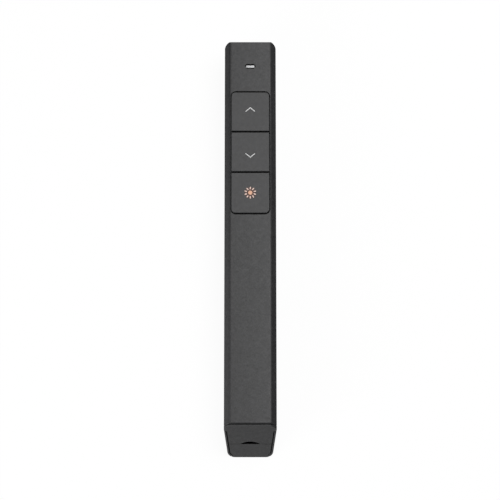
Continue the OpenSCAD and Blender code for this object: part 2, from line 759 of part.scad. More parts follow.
module switch_cover(k) color(steel) difference() {
    switch_block(k, 0, board_top + seat_fit, cover_top);
    switch_block(k, cover_t, board_top - over, cover_top - cover_t);
    translate([0, key_y(k), board_top]) cylinder(r = plunger_r + 2 * seat_fit, h = over);
}

module switch_base_up() switch_base(0);
module switch_base_down() switch_base(1);
module switch_base_laser() switch_base(2);
module switch_dome_up() switch_dome(0);
module switch_dome_down() switch_dome(1);
module switch_dome_laser() switch_dome(2);
module switch_plunger_up() switch_plunger(0);
module switch_plunger_down() switch_plunger(1);
module switch_plunger_laser() switch_plunger(2);
module switch_cover_up() switch_cover(0);
module switch_cover_down() switch_cover(1);
module switch_cover_laser() switch_cover(2);

// ---- Laser module ----

lead_r = 0.23;
lead_pitch = 1.1;
lead_y = laser_y0 - 1.6;
diode_flange_t = 1.2;
diode_can_r = 1.6;
diode_can_l = 2.2;
barrel_wall = 0.6;
barrel_bore_r = laser_r - barrel_wall;
lens_t = 1.6;
lens_curve_r = 5;
lens_y1 = laser_y1 - 0.8;
solder_h = 0.3;                                    // reach of the leads above the board

module laser_barrel() color([0.78, 0.62, 0.32]) difference() {
    rod(laser_r, laser_y0, laser_y1, laser_z);
    rod(barrel_bore_r, laser_y0 - over, laser_y1 + over, laser_z);
}

// Flat towards the diode, domed towards the nose
module laser_lens() color(clear_white) translate([0, lens_y1, laser_z]) rotate([90, 0, 0]) rotate_extrude()
    intersection() {
        square([barrel_bore_r - seat_fit / 2, lens_t]);
        translate([0, lens_curve_r]) circle(lens_curve_r);
    }

module laser_diode() color(steel) {
    rod(barrel_bore_r - seat_fit / 2, laser_y0, laser_y0 + diode_flange_t, laser_z);
    rod(diode_can_r, laser_y0 + diode_flange_t - bed, laser_y0 + diode_flange_t + diode_can_l, laser_z);
}

module laser_leads() color(steel) for (x = [-1, 0, 1]) translate([x * lead_pitch, 0, 0]) {
    rod(lead_r, lead_y, laser_y0, laser_z);
    translate([0, lead_y, laser_z]) sphere(lead_r);
    translate([0, lead_y, laser_z]) cylinder(r = lead_r, h = board_top + solder_h - laser_z);
}

module laser_window() color(clear_white) rod(window_r, nose_y - window_t, nose_y - seat_fit, laser_z);

// ---- Battery and its contacts ----

terminal_l = 1;
terminal_r = 1.9;
plate_half = 4;

module battery_cell() color([0.55, 0.55, 0.57]) rod(cell_d / 2, cell_y0, cell_y1 - terminal_l, cell_z);

module battery_terminal() color(steel) rod(terminal_r, cell_y1 - terminal_l, cell_y1, cell_z);

// Bent sheet from a plate at y, along side s of the inside, to a foot on the board
module contact(s, y, along_h) {
    lifted_z = strip_z + strip_lift;
    strip_top = lifted_z + contact_t;
    foot_y = board_y0 + foot_l;
    arm = [s * (plate_half - 1), s * (strip_x + contact_t)];
    side = [s * (strip_x - contact_t), s * (strip_x + contact_t)];
    mid_block(plate_half, y, y + contact_t, boss_bottom + 2 * slide_fit, strip_top);
    block([min(arm), y, lifted_z], [max(arm), y + contact_t, strip_top]);
    block([min(side), y, lifted_z], [max(side), foot_y, lifted_z + along_h]);
    block([min(side), board_y0 + slide_fit, strip_z], [max(side), foot_y, strip_top]);
}

module positive_contact() color(steel) contact(1, cell_y1, contact_t);
module negative_contact() color(steel) contact(-1, bay_y0, strip_h);

spring_sides = 8;
spring_steps = spring_turns * 20;
spring_r0 = 3.6;                                   // at the plate
spring_r1 = 2.2;                                   // at the cell
spring_y0 = bay_y0 + contact_t + seat_fit + spring_wire_d / 2;
spring_rise = spring_l - spring_wire_d - 2 * seat_fit;
// Direction from the spring's axis to the wire at step i
function coil_side(i) = let (a = 360 * spring_turns * i / spring_steps) [cos(a), 0, sin(a)];
// Middle of the wire at step i
function coil_point(i) = let (t = i / spring_steps)
    [0, spring_y0 + spring_rise * t, cell_z] + (spring_r0 + (spring_r1 - spring_r0) * t) * coil_side(i);

// Coil that narrows from the plate to the cell: a ring of points is carried along it
module negative_spring() color(steel) {
    sides = [0:spring_sides - 1];
    ring_points = [for (i = [0:spring_steps]) for (j = sides) let (b = 360 * j / spring_sides)
        coil_point(i) + spring_wire_d / 2 * (cos(b) * coil_side(i) + sin(b) * [0, 1, 0])];
    walls = [for (i = [0:spring_steps - 1]) for (j = sides)
        let (a = i * spring_sides, b = a + spring_sides, n = (j + 1) % spring_sides)
        [a + j, a + n, b + n, b + j]];
    first_end = [[for (j = sides) spring_sides - 1 - j]];
    last_end = [[for (j = sides) spring_steps * spring_sides + j]];
    polyhedron(ring_points, concat(walls, first_end, last_end));
}

// ---- Screws ----

// Screw that points up, its head's seat at the origin, with a cross recess
module screw(shank_l) {
    cross_half = 0.6 * screw_head_r;
    cross_w = 0.26 * screw_r;
    difference() {
        translate([0, 0, -screw_head_h]) cylinder(r = screw_head_r, h = screw_head_h);
        for (a = [0, 90]) rotate(a)
            mid_block(cross_half, -cross_w, cross_w, -screw_head_h - over, -screw_head_h / 2);
    }
    translate([0, 0, -bed]) cylinder(r = screw_r, h = shank_l + bed);
}

module housing_screws() color(steel) for (y = [tail_boss_y, nose_boss_y])
    translate([0, y, boss_seat]) screw(housing_screw_l);

module board_screws() color(steel) for (s = [-1, 1])
    translate([s * board_screw_x, board_screw_y, board_z]) screw(board_screw_l);

// ---- Receiver ----

plug_root_y = cap_joint_y - plug_root_l;
plug_mouth_y = cap_joint_y + plug_l;
plug_inside_z = plug_top - plug_h + plug_sheet;
card_t = 0.8;
card_z = plug_inside_z + 1.15;
card_top = card_z + card_t;
card_half = plug_w / 2 - plug_sheet - seat_fit;
card_y0 = plug_root_y + 0.2;
card_y1 = plug_mouth_y - 0.4;
plug_window_half = 1.25;                           // windows in the plug's upper and lower face
plug_window_l = 2;
plug_window_x = 2.9;
plug_window_y = plug_mouth_y - 6.3;
contact_strip_w = 1;                               // gold strips on the receiver's board
contact_strip_t = 0.06;
contact_inset = 0.8;
contact_pitch = 2;
contact_outer_x = 3.5;
contact_outer_l = 7.4;
contact_inner_l = 6.4;

module receiver_cap() color(plastic) difference() {
    intersection() {
        body_block();
        union() {
            intersection() {
                along_y(tail_y - over, cap_joint_y) body_section(insert_inset);
                mid_block(body_w, tail_y - over, cap_joint_y, cap_bottom_z, body_h + over);
            }
            mid_block(body_w, tail_y - over, cap_joint_y, split_z + ear_gap, body_h + over);
        }
    }
    // seat of the plug's shell
    mid_block(plug_w / 2 + seat_fit, plug_root_y, cap_joint_y + over,
              plug_top - plug_h - seat_fit, plug_top + seat_fit);
    // fingernail notch in the lower edge
    along_y(tail_y - over, tail_plane_y(cap_bottom_z) + notch_depth)
        translate([0, cap_bottom_z + notch_h - notch_r]) circle(notch_r);
}

module plug_shell() color(steel) difference() {
    mid_block(plug_w / 2, plug_root_y + seat_fit, plug_mouth_y, plug_top - plug_h, plug_top);
    mid_block(plug_w / 2 - plug_sheet, plug_root_y - over, plug_mouth_y + over,
              plug_inside_z, plug_top - plug_sheet);
    // two windows in the upper and in the lower face
    for (s = [-1, 1]) translate([s * plug_window_x, plug_window_y, 0])
        mid_block(plug_window_half, -plug_window_l / 2, plug_window_l / 2,
                  plug_top - plug_h - over, plug_top + over);
}

module plug_carrier() color([0.92, 0.92, 0.90])
    mid_block(card_half, card_y0, card_y1, plug_inside_z + seat_fit, card_z);

module receiver_board() color(board_green)
    mid_block(card_half, card_y0, card_y1, card_z, card_top);

// Gold strip of length l at x
module contact_strip(x, l) translate([x, 0, 0])
    mid_block(contact_strip_w / 2, plug_mouth_y - contact_inset - l, plug_mouth_y - contact_inset,
              card_top, card_top + contact_strip_t);

module plug_contacts() color(gold) for (s = [-1, 1]) {
    contact_strip(s * contact_outer_x, contact_outer_l);
    contact_strip(s * contact_pitch / 2, contact_inner_l);
}

module receiver_chip() color(chip_black) {
    w = 3.2;
    mid_block(w / 2, card_y0 + 0.4, card_y0 + 0.4 + w, card_top, card_top + 0.8);
}

module receiver_crystal() color(steel) {
    w = 2;
    l = 2.5;
    block([2.6, card_y0 + 0.6, card_top], [2.6 + w, card_y0 + 0.6 + l, card_top + 0.6]);
}

front_housing();
rear_housing();
battery_door();
button_up();
button_down();
button_laser();
led_window();
status_led();
main_board();
radio_chip();
radio_crystal();
board_capacitors();
switch_base_up();
switch_base_down();
switch_base_laser();
switch_dome_up();
switch_dome_down();
switch_dome_laser();
switch_plunger_up();
switch_plunger_down();
switch_plunger_laser();
switch_cover_up();
switch_cover_down();
switch_cover_laser();
laser_barrel();
laser_lens();
laser_diode();
laser_leads();
laser_window();
battery_cell();
battery_terminal();
positive_contact();
negative_contact();
negative_spring();
housing_screws();
board_screws();
receiver_cap();
plug_shell();
plug_carrier();
plug_contacts();
receiver_board();
receiver_chip();
receiver_crystal();
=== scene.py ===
"""Looks of a wireless presentation clicker, dressed around its packed construction.

Lengths are metres in the construction's frame: X across the body, +Y to the laser nose, +Z out of the keys.
"""

import math

import bmesh
import bpy
import numpy as np
from bpy.props import FloatProperty, FloatVectorProperty, IntProperty, PointerProperty
from bpy.types import Operator, Panel, PropertyGroup
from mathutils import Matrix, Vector


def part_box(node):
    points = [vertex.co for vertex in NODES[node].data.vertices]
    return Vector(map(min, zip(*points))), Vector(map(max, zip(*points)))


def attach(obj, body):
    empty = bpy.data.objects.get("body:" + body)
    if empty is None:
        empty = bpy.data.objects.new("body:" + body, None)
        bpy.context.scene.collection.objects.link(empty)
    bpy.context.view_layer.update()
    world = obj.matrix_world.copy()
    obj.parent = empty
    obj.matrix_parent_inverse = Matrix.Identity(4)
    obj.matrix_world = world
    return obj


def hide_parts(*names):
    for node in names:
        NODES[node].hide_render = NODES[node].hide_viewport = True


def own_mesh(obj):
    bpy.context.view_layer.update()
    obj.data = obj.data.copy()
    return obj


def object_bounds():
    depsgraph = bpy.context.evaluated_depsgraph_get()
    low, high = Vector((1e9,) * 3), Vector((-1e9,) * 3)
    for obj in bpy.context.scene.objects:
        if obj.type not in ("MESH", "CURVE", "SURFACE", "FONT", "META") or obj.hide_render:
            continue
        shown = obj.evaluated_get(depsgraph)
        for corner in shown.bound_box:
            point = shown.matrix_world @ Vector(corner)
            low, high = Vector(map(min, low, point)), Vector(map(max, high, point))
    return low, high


bl_info = {
    "name": "Presentation Clicker",
    "version": (1, 0, 0),
    "blender": (4, 5, 0),
    "location": "3D View > Sidebar > Clicker",
    "description": "Dresses a wireless presentation clicker with its plastics, inks, metals and studio",
    "category": "Object",
}

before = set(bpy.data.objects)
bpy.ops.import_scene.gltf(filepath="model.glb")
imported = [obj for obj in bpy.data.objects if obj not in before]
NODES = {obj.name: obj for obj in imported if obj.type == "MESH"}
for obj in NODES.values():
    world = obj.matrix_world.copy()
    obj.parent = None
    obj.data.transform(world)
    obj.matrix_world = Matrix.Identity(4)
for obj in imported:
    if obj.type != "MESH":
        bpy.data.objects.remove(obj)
CAD_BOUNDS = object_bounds()
KEYS = ("up", "down", "laser")
MM = 0.001
HALF_WIDTH = CAD_BOUNDS[1][0]
WHITE = (1.0, 1.0, 1.0, 1.0)
JOIN_DISTANCE = 0.0001 * MM  # within this, points of a new piece are one point
WELD_DISTANCE = 0.002 * MM  # within this, corners of a node's loose triangles are one corner
FLAT_ANGLE = math.radians(0.2)  # faces that differ by less are one flat
SHARP_ANGLE = math.radians(38)  # a new piece's faces that differ by more meet in a crease
CUT_ANGLE = math.radians(32)  # a node's edges that are sharper are rounded
SHEET_CUT_ANGLE = math.radians(50)  # the same for the plug's sheet, whose bends stay out of it
EDGE_SEGMENTS = 2  # faces round a rounded edge
FACE_WEIGHT = 100  # large faces alone set the shading, so that flats stay flat


# ---- Colours and values ----

def linear(hex_colour):
    """sRGB hex value as linear RGBA: each channel goes through the sRGB curve."""
    channels = [int(hex_colour[i:i + 2], 16) / 255 for i in (1, 3, 5)]
    return (*[c / 12.92 if c <= 0.04045 else ((c + 0.055) / 1.055) ** 2.4 for c in channels], 1.0)


def length(name, millimetres, description):
    """A size that the panel shows as a length."""
    return FloatProperty(name=name, description=description, default=millimetres * MM, min=0.0,
                         subtype="DISTANCE", unit="LENGTH", precision=6)


def colour(name, hex_colour, description):
    """A colour that the panel shows as a swatch."""
    return FloatVectorProperty(name=name, description=description, default=linear(hex_colour), size=4,
                               min=0.0, max=1.0, subtype="COLOR")


def share(name, value, description):
    """A value between 0 and 1."""
    return FloatProperty(name=name, description=description, default=value, min=0.0, max=1.0,
                         subtype="FACTOR")


def spot(name, millimetres, description):
    """A point, or the sides of a sheet, that the panel shows as lengths."""
    return FloatVectorProperty(name=name, description=description, default=[v * MM for v in millimetres],
                               size=len(millimetres), subtype="XYZ", unit="LENGTH", precision=6)


def power(name, watts, description):
    """The power of a lamp in watts."""
    return FloatProperty(name=name, description=description, default=watts, min=0.0, subtype="POWER")


class ClickerPlastics(PropertyGroup):
    """Moulded shells and keys."""
    shell: colour("Shell", "#222223", "Black ABS of the shells, the door and the receiver cap")
    keys: colour("Keys", "#232324", "Black ABS of the keys")
    shell_roughness: share("Shell roughness", 0.47, "Roughness of the spark-eroded shell surface")
    key_roughness: share("Key roughness", 0.44, "Roughness of the satin key surface")
    shell_sheen: share("Shell sheen", 0.3, "Reflectance of the shell's skin; 0.5 is that of bare ABS")
    key_sheen: share("Key sheen", 0.285, "Reflectance of the keys' skin; 0.5 is that of bare ABS")
    shell_grain: length("Shell grain", 1.2, "Width of the largest grains of the shell texture")
    key_grain: length("Key grain", 1.2, "Width of the largest grains of the key texture")
    shell_relief: length("Shell relief", 0.045, "Height of the shell's grain")
    key_relief: length("Key relief", 0.006, "Height of the keys' grain")
    shell_uneven: share("Shell unevenness", 0.55, "Share by which the shell's colour changes with its grain")
    key_uneven: share("Key unevenness", 0.12, "Share by which the keys' colour changes with their grain")
    crown: length("Crown", 0.22, "Height by which the face's middle stands above its long edges")


class ClickerEdges(PropertyGroup):
    """Rounding of cut edges."""
    shells: length("Shell edges", 0.08, "Rounding of the edges of the shells and the battery door")
    cap: length("Cap edges", 0.055, "Rounding of the receiver cap's edges")
    marks: length("Mark edges", 0.02, "Rounding of the edges of the ink in the keys")
    board: length("Board edges", 0.05, "Rounding of the edges of the boards and their packages")
    switches: length("Switch edges", 0.04, "Rounding of the edges of the switches' covers and plungers")
    laser: length("Laser edges", 0.08, "Rounding of the laser module's edges")
    contacts: length("Contact edges", 0.06, "Rounding of the battery contacts' edges")
    screws: length("Screw edges", 0.1, "Rounding of the screws' edges")
    plug: length("Plug edges", 0.06, "Rounding of the plug sheet's edges")
    carrier: length("Carrier edges", 0.05, "Rounding of the edges of the plug's insulator")


class ClickerMarks(PropertyGroup):
    """Figures filled with ink on the keys."""
    pale_ink: colour("Chevron ink", "#cacaca", "Pale grey ink of the chevrons")
    warm_ink: colour("Sun ink", "#d2a184", "Orange ink of the sun's disc")
    ray_ink: colour("Ray ink", "#d3b9ad", "Pale orange ink of the sun's rays")
    stain: colour("Stain", "#38170a", "Brown stain that the ink left in the key round the sun")
    stain_reach: length("Stain reach", 2.3, "Radius of the stain round the sun's middle")
    chevron_half: length("Chevron half width", 1.7, "Half width of a chevron")
    chevron_rise: length("Chevron rise", 1.45, "Rise of a chevron from its feet to its tip")
    chevron_stroke: length("Chevron stroke", 0.28, "Width of a chevron's stroke")
    up_tip: length("Up tip", 1.57, "Distance of the up chevron's tip ahead of its key's middle")
    down_tip: length("Down tip", 2.15, "Distance of the down chevron's tip behind its key's middle")
    sun_disc: length("Sun disc", 0.73, "Radius of the sun's disc")
    ray_start: length("Ray start", 1.17, "Radius at which the rays start")
    ray_end: length("Ray end", 2.07, "Radius at which the rays end")
    ray_width: length("Ray width", 0.43, "Width of a ray")
    rays: IntProperty(name="Rays", description="Number of rays", default=10, min=6, max=16)
    depth: length("Depth", 0.12, "Depth of the figures in the keys")
    sink: length("Sink", 0.01, "Depth of the ink below the key's face")


class ClickerLamp(PropertyGroup):
    """Light guide of the status lamp."""
    milky: colour("Light guide", "#b2b3b4", "Milky clear polycarbonate")
    tip_width: length("Tip width", 2.84, "Length of the tip across the body")
    tip_length: length("Tip length", 0.86, "Width of the tip along the body")
    tip_corner: length("Tip corner", 0.25, "Radius of the tip's corners seen from above")
    edge: length("Tip edge", 0.08, "Rounding of the tip's edge")
    # below this clear top the guide is painted nearly black: painted shade for the gap round the tip
    clear: length("Clear depth", 0.15, "Height of the tip that is left clear above the black dip")
    flange: length("Flange", 0.8, "Reach of the flange beyond the tip")
    flange_height: length("Flange height", 0.7, "Thickness of the flange")
    stem_inset: length("Stem inset", 0.3, "Inset of the stem's ends from the tip's")
    flange_drop: length("Flange drop", 1.65, "Distance from the tip's end down to the flange's underside")


class ClickerMouldings(PropertyGroup):
    """Mouldings, castings and boards inside."""
    lamp_resin: colour("Lamp resin", "#e8e2c8", "Resin of the status lamp")
    package: colour("Package", "#17171a", "Epoxy of the chips' packages")
    ceramic: colour("Ceramic", "#a88f6c", "Ceramic of the capacitors")
    base: colour("Switch base", "#1d1d1f", "Black nylon of the switches' bases")
    plunger: colour("Plunger", "#c4bba8", "Undyed nylon of the plungers")
    insulator: colour("Insulator", "#ececea", "White insulator in the plug")
    acrylic: colour("Acrylic", "#eef1f2", "Clear acrylic of the lens and of the disc in the nose")
    solder_mask: colour("Solder mask", "#1d6b3a", "Solder mask on the bare board")
    tracks: colour("Tracks", "#2f8a4d", "Solder mask over copper")


class ClickerMetals(PropertyGroup):
    """Metals inside."""
    steel: colour("Steel", "#bcbbb6", "Stamped steel of the switches' covers and domes")
    can: colour("Can", "#b9b8b2", "Nickel-plated cans of the crystals")
    brass: colour("Brass", "#c89b4a", "Turned brass of the laser module")
    tin: colour("Tin", "#c5c4be", "Tinned leads of the laser module")
    nickel: colour("Contact nickel", "#c2c0b8", "Nickel plating of the battery's contacts")
    plug: colour("Plug nickel", "#c6c5c0", "Nickel plating of the plug's sheet")
    gold: colour("Gold", "#d8a94e", "Gold flash on the plug's contacts")
    zinc: colour("Zinc", "#4a4a4c", "Black zinc plating of the screws")


class ClickerDomes(PropertyGroup):
    """Snap domes of the push switches."""
    sheet: length("Dome sheet", 0.08, "Thickness of a dome's sheet")
    rings: IntProperty(name="Dome rings", description="Rings of points from a dome's middle to its rim",
                       default=8, min=4, max=24)


class ClickerCell(PropertyGroup):
    """Battery cell and its spring."""
    jacket: colour("Jacket", "#3a3f4a", "Shrink jacket of the cell")
    band: colour("Band", "#b9bcc2", "Pale band at the positive end")
    band_length: length("Band length", 8.0, "Length of the pale band")
    roll: length("Rolled edge", 0.45, "Radius of the jacket's rolled edges")
    rim: length("Rim", 1.1, "Width of the jacket's rim over the cell's ends")
    recess: length("Recess", 0.2, "Depth of the end plates inside the rims")
    wire: length("Spring wire", 0.4, "Diameter of the spring's wire")
    plate_coil: length("Plate coil", 3.6, "Radius of the spring's coil at the contact plate")
    cell_coil: length("Cell coil", 2.2, "Radius of the spring's coil at the cell")
    turns: FloatProperty(name="Turns", description="Turns of the spring", default=4.0, min=2.0, max=8.0)
    flat_turns: FloatProperty(name="Flat turns", description="Part of a turn that lies flat at either end",
                              default=0.5, min=0.0, max=0.75)
    plate_gap: length("Plate gap", 0.05, "Width of the step between the rim and the end plate")


class ClickerPlug(PropertyGroup):
    """Sheet shell of the receiver's plug."""
    sheet: length("Sheet", 0.3, "Thickness of the plug's sheet")
    corner: length("Corner", 0.65, "Outer radius of the plug's long corners")
    window_width: length("Window width", 2.5, "Width of a latch window")
    window_length: length("Window length", 2.0, "Length of a latch window")
    window_offset: length("Window offset", 2.9, "Distance of the windows from the middle plane")
    window_back: length("Window back", 6.3, "Distance of the windows' middle from the plug's mouth")


class ClickerLights(PropertyGroup):
    """Lamps, and dark flags that keep the light off one side."""
    soft_place: spot("Softbox place", (240, 210, 720), "Middle of the large softbox above")
    soft_size: spot("Softbox size", (620, 600), "Sides of the softbox")
    soft_power: power("Softbox power", 5.6, "Power of the softbox")
    fill_place: spot("Fill place", (-400, -350, 130), "Middle of the low fill lamp at the left of the tail")
    fill_size: spot("Fill size", (300, 300), "Sides of the fill lamp")
    fill_power: power("Fill power", 2.0, "Power of the fill lamp")
    right_flag: spot("Right flag", (40, 20, 25), "Middle of the flag at the right")
    right_size: spot("Right flag size", (300, 50), "Length and height of the flag at the right")
    left_flag: spot("Left flag", (-125, 195, 60), "Middle of the flag at the left of the nose")
    left_size: spot("Left flag size", (300, 120), "Length and height of the flag at the left")
    felt: colour("Flag felt", "#1a1a1a", "Black felt of the flags")


class ClickerStage(PropertyGroup):
    """Camera and floor."""
    lens: FloatProperty(name="Lens", description="Focal length", default=161.26, min=1.0,
                        subtype="DISTANCE_CAMERA")
    sensor: FloatProperty(name="Sensor", description="Width of the sensor", default=36.0, min=1.0,
                          subtype="DISTANCE_CAMERA")
    near: length("Near limit", 10.0, "Distance from the camera at which things start to show")
    distance: length("Distance", 767.1, "Distance of the camera from the point that it is aimed at")
    elevation: FloatProperty(name="Elevation", description="Angle between the line of sight and the floor",
                             default=math.radians(75.908), subtype="ANGLE", unit="ROTATION")
    aim: spot("Aim", (-0.1, -1.12, 7.5), "Point that the camera is aimed at")
    floor: colour("Floor", "#f7f7f7", "Matt white floor")
    floor_half: length("Floor half size", 3000, "Half size of the floor")
    floor_gap: length("Floor gap", 0.02, "Gap under the back, so that the two flats don't coincide")
    floor_glow: share("Floor glow", 0.93, "Share of the floor's plain white that no shadow darkens")
    ambient: share("Ambient", 0.25, "Light that comes from all around")


# ---- Surfaces as grids of points ----

def grid_quads(rows, columns, copies=1):
    """Quads between neighbouring points of a grid whose last column joins the first, or of like grids."""
    row = np.arange(rows - 1)[:, None]
    column = np.arange(columns)[None, :]
    after = (column + 1) % columns
    quads = np.stack([row * columns + column, row * columns + after,
                      (row + 1) * columns + after, (row + 1) * columns + column], axis=-1).reshape(-1, 4)
    return (quads[None] + (np.arange(copies) * rows * columns)[:, None, None]).reshape(-1, 4)


def finish_mesh(name, points, quads=None):
    """Object at the origin from points and quads, or from a grid whose last column joins the first.
    Coinciding points are joined and faces turned outwards."""
    if quads is None:
        quads = grid_quads(*points.shape[:2])
    mesh = bpy.data.meshes.new(name)
    mesh.from_pydata(points.reshape(-1, 3).tolist(), [], quads.tolist())
    tool = bmesh.new()
    tool.from_mesh(mesh)
    bmesh.ops.remove_doubles(tool, verts=tool.verts, dist=JOIN_DISTANCE)
    bmesh.ops.dissolve_degenerate(tool, edges=tool.edges, dist=JOIN_DISTANCE)
    bmesh.ops.recalc_face_normals(tool, faces=tool.faces)
    tool.to_mesh(mesh)
    tool.free()
    mesh.shade_smooth()
    mesh.set_sharp_from_angle(angle=SHARP_ANGLE)
    piece = bpy.data.objects.new(name, mesh)
    bpy.context.scene.collection.objects.link(piece)
    return piece


def capped(rings):
    """Rings (rows, columns, 3) with one more ring at each end, which is drawn together in its middle."""
    first = np.broadcast_to(rings[:1].mean(axis=1, keepdims=True), rings[:1].shape)
    last = np.broadcast_to(rings[-1:].mean(axis=1, keepdims=True), rings[-1:].shape)
    return np.concatenate([first, rings, last])


def rounded_rings(width, extent, radius, height, count=40):
    """Rounded rectangles, one ring for each width, extent along Y, corner radius and height given.

    A point at angle a of a ring lies on a corner's arc, in the quarter that the angle is in:
    x = +-(width / 2 - radius) + radius * cos a, y = +-(extent / 2 - radius) + radius * sin a.
    """
    angle = (np.arange(count) + 0.5) * math.tau / count
    width, extent, radius, height = (np.asarray(v, float)[:, None] for v in (width, extent, radius, height))
    x = (width / 2 - radius) * np.sign(np.cos(angle)) + radius * np.cos(angle)
    y = (extent / 2 - radius) * np.sign(np.sin(angle)) + radius * np.sin(angle)
    return np.stack([x, y, height + 0 * x], axis=-1)


def pillow_levels(depth, edge, steps=5):
    """Inset and height of a flat pad's rings: an upright side, then a quarter round of radius edge."""
    turn = np.linspace(0, math.pi / 2, steps)
    inset = np.concatenate([[0.0], edge * (1 - np.cos(turn))])
    height = np.concatenate([[0.0], depth - edge + edge * np.sin(turn)])
    return inset, height


def turned(profile, axis_z, count=64):
    """Profile of (y, radius) points turned about the line along Y at height axis_z:
    x = radius * sin a, z = axis_z + radius * cos a."""
    y, radius = np.asarray(profile, float).T[:, :, None]
    angle = np.arange(count) * math.tau / count
    return np.stack([radius * np.sin(angle), y + 0 * angle, axis_z + radius * np.cos(angle)], axis=-1)


# ---- Materials ----

def add(tree, kind, inputs=None, **settings):
    """Adds a node of a kind, with its settings. An input is a value, a socket to link, or a node, which
    stands for the first of its outputs that is in use."""
    made = tree.nodes.new(kind)
    for name, value in settings.items():
        setattr(made, name, value)
    for name, value in (inputs or {}).items():
        if isinstance(value, bpy.types.Node):
            value = next(output for output in value.outputs if output.enabled)
        if isinstance(value, bpy.types.NodeSocket):
            tree.links.new(value, made.inputs[name])
        else:
            made.inputs[name].default_value = value
    return made


def empty_tree(owner):
    """Node tree of a new material or world, cleared of its ready-made nodes."""
    owner.use_nodes = True
    owner.node_tree.nodes.clear()
    return owner.node_tree


def start_material(name):
    """New material, its empty tree, and the object's own coordinates in metres."""
    material = bpy.data.materials.new(name)
    tree = empty_tree(material)
    return material, tree, add(tree, "ShaderNodeTexCoord").outputs["Object"]


def surfaced(material, inputs):
    """The material, finished with a surface that has the inputs given."""
    shader = add(material.node_tree, "ShaderNodeBsdfPrincipled", inputs)
    add(material.node_tree, "ShaderNodeOutputMaterial", {"Surface": shader})
    return material


def follow(tree, pattern, colour_value=None, tones=None, roughness=None, depth=None):
    """Inputs of a surface that follow a pattern: the colour is scaled by a factor between the two tones, the
    roughness lies between its two values, and the relief is depth high; each is left out if it isn't given.

    A noise seldom leaves 0.3 to 0.7, so these give the ends of each range.
    """
    inputs = {}
    usual = {"Value": pattern, "From Min": 0.3, "From Max": 0.7}
    if tones:
        factor = add(tree, "ShaderNodeMapRange", {**usual, "To Min": tones[0], "To Max": tones[1]})
        inputs["Base Color"] = add(tree, "ShaderNodeVectorMath", {0: colour_value[:3], "Scale": factor},
                                   operation="SCALE")
    if roughness:
        inputs["Roughness"] = add(tree, "ShaderNodeMapRange",
                                  {**usual, "To Min": roughness[0], "To Max": roughness[1]})
    if depth:
        inputs["Normal"] = add(tree, "ShaderNodeBump", {"Height": pattern, "Distance": depth})
    return inputs


def stained(tree, place, tone, centre, reach, stain):
    """Tone that turns to the stain's colour inside a sphere about a centre. The edge is soft, and starts at
    six tenths of the reach."""
    away = add(tree, "ShaderNodeVectorMath", {0: place, 1: centre}, operation="DISTANCE")
    inside = add(tree, "ShaderNodeMapRange", {"Value": away, "From Min": 0.6 * reach, "From Max": reach,
                                              "To Min": 1.0, "To Max": 0.0}, interpolation_type="SMOOTHSTEP")
    return add(tree, "ShaderNodeMix", {"Factor": inside, "A": tone, "B": stain}, data_type="RGBA")


def moulded_abs(name, colour_value, roughness, sheen, grain, uneven, depth, crown=0.0, stain=None):
    """ABS moulded in a spark-eroded tool: a fine even grain that blurs the gloss and traps part of it.

    The real grain is about 0.1 mm wide. It is drawn in five layers, so that it still shows from arm's
    length: the first has grains as wide as grain, and each next one is half as wide and nearly as strong.
    uneven is the share by which the colour changes with the grain, and depth is the grain's height. crown is
    the height by which a face's middle stands above its long edges: it falls with the square of X, too
    little to change the outline, but enough to shade the face from side to side. stain is the centre, the
    reach and the colour of a stain, if there is one.
    """
    material, tree, place = start_material(name)
    grains = add(tree, "ShaderNodeTexNoise", {"Vector": place, "Scale": 1 / grain, "Detail": 4.0,
                                              "Roughness": 0.95})
    inputs = follow(tree, grains, colour_value, tones=(1 - uneven, 1 + uneven),
                    roughness=(roughness + 0.05, roughness - 0.05))
    if stain:
        inputs["Base Color"] = stained(tree, place, inputs["Base Color"], *stain)
    side = add(tree, "ShaderNodeSeparateXYZ", {"Vector": place}).outputs["X"]
    across = add(tree, "ShaderNodeMath", {0: side, 1: 1 / HALF_WIDTH}, operation="MULTIPLY")
    fall = add(tree, "ShaderNodeMath", {0: across, 1: across}, operation="MULTIPLY")
    height = add(tree, "ShaderNodeMath", {0: grains, 1: depth}, operation="MULTIPLY")
    relief = add(tree, "ShaderNodeMath", {0: fall, 1: -crown, 2: height}, operation="MULTIPLY_ADD")
    inputs.update(follow(tree, relief, depth=1.0))
    return surfaced(material, {**inputs, "IOR": 1.54, "Specular IOR Level": sheen})


def print_ink(name, colour_value, blotch=0.35 * MM, peel=0.01 * MM):
    """Two-part ink wiped into a recess: matt, slightly uneven in cover, with a faint orange-peel surface."""
    material, tree, place = start_material(name)
    cover = add(tree, "ShaderNodeTexNoise", {"Vector": place, "Scale": 1 / blotch})
    inputs = follow(tree, cover, colour_value, tones=(0.93, 1.05), depth=peel)
    return surfaced(material, {**inputs, "Roughness": 0.55, "IOR": 1.48})


def milky_guide_with_painted_shade(name, colour_value, tip_top, clear, cloud=0.8 * MM, wave=0.01 * MM):
    """Moulded polycarbonate light guide: milky, with a satin face that scatters the lamp's light. Deeper
    than clear below the tip its colour is painted nearly black: painted shade for the dark gap round the tip
    in the shell's slot."""
    material, tree, place = start_material(name)
    clouds = add(tree, "ShaderNodeTexNoise", {"Vector": place, "Scale": 1 / cloud})
    inputs = follow(tree, clouds, colour_value, tones=(0.95, 1.0), depth=wave)
    height = add(tree, "ShaderNodeSeparateXYZ", {"Vector": place}).outputs["Z"]
    # painted shade: below the clear top the guide's colour is darkened nearly to black, standing for the
    # shade in the gap round the tip
    painted_gap_shade = add(tree, "ShaderNodeMapRange", {"Value": height, "From Min": tip_top - 1.2 * clear,
                                                "From Max": tip_top - clear, "To Min": 0.03})
    inputs["Base Color"] = add(tree, "ShaderNodeVectorMath", {0: inputs["Base Color"], "Scale": painted_gap_shade},
                               operation="SCALE")
    return surfaced(material, {**inputs, "Roughness": 0.4, "IOR": 1.58})


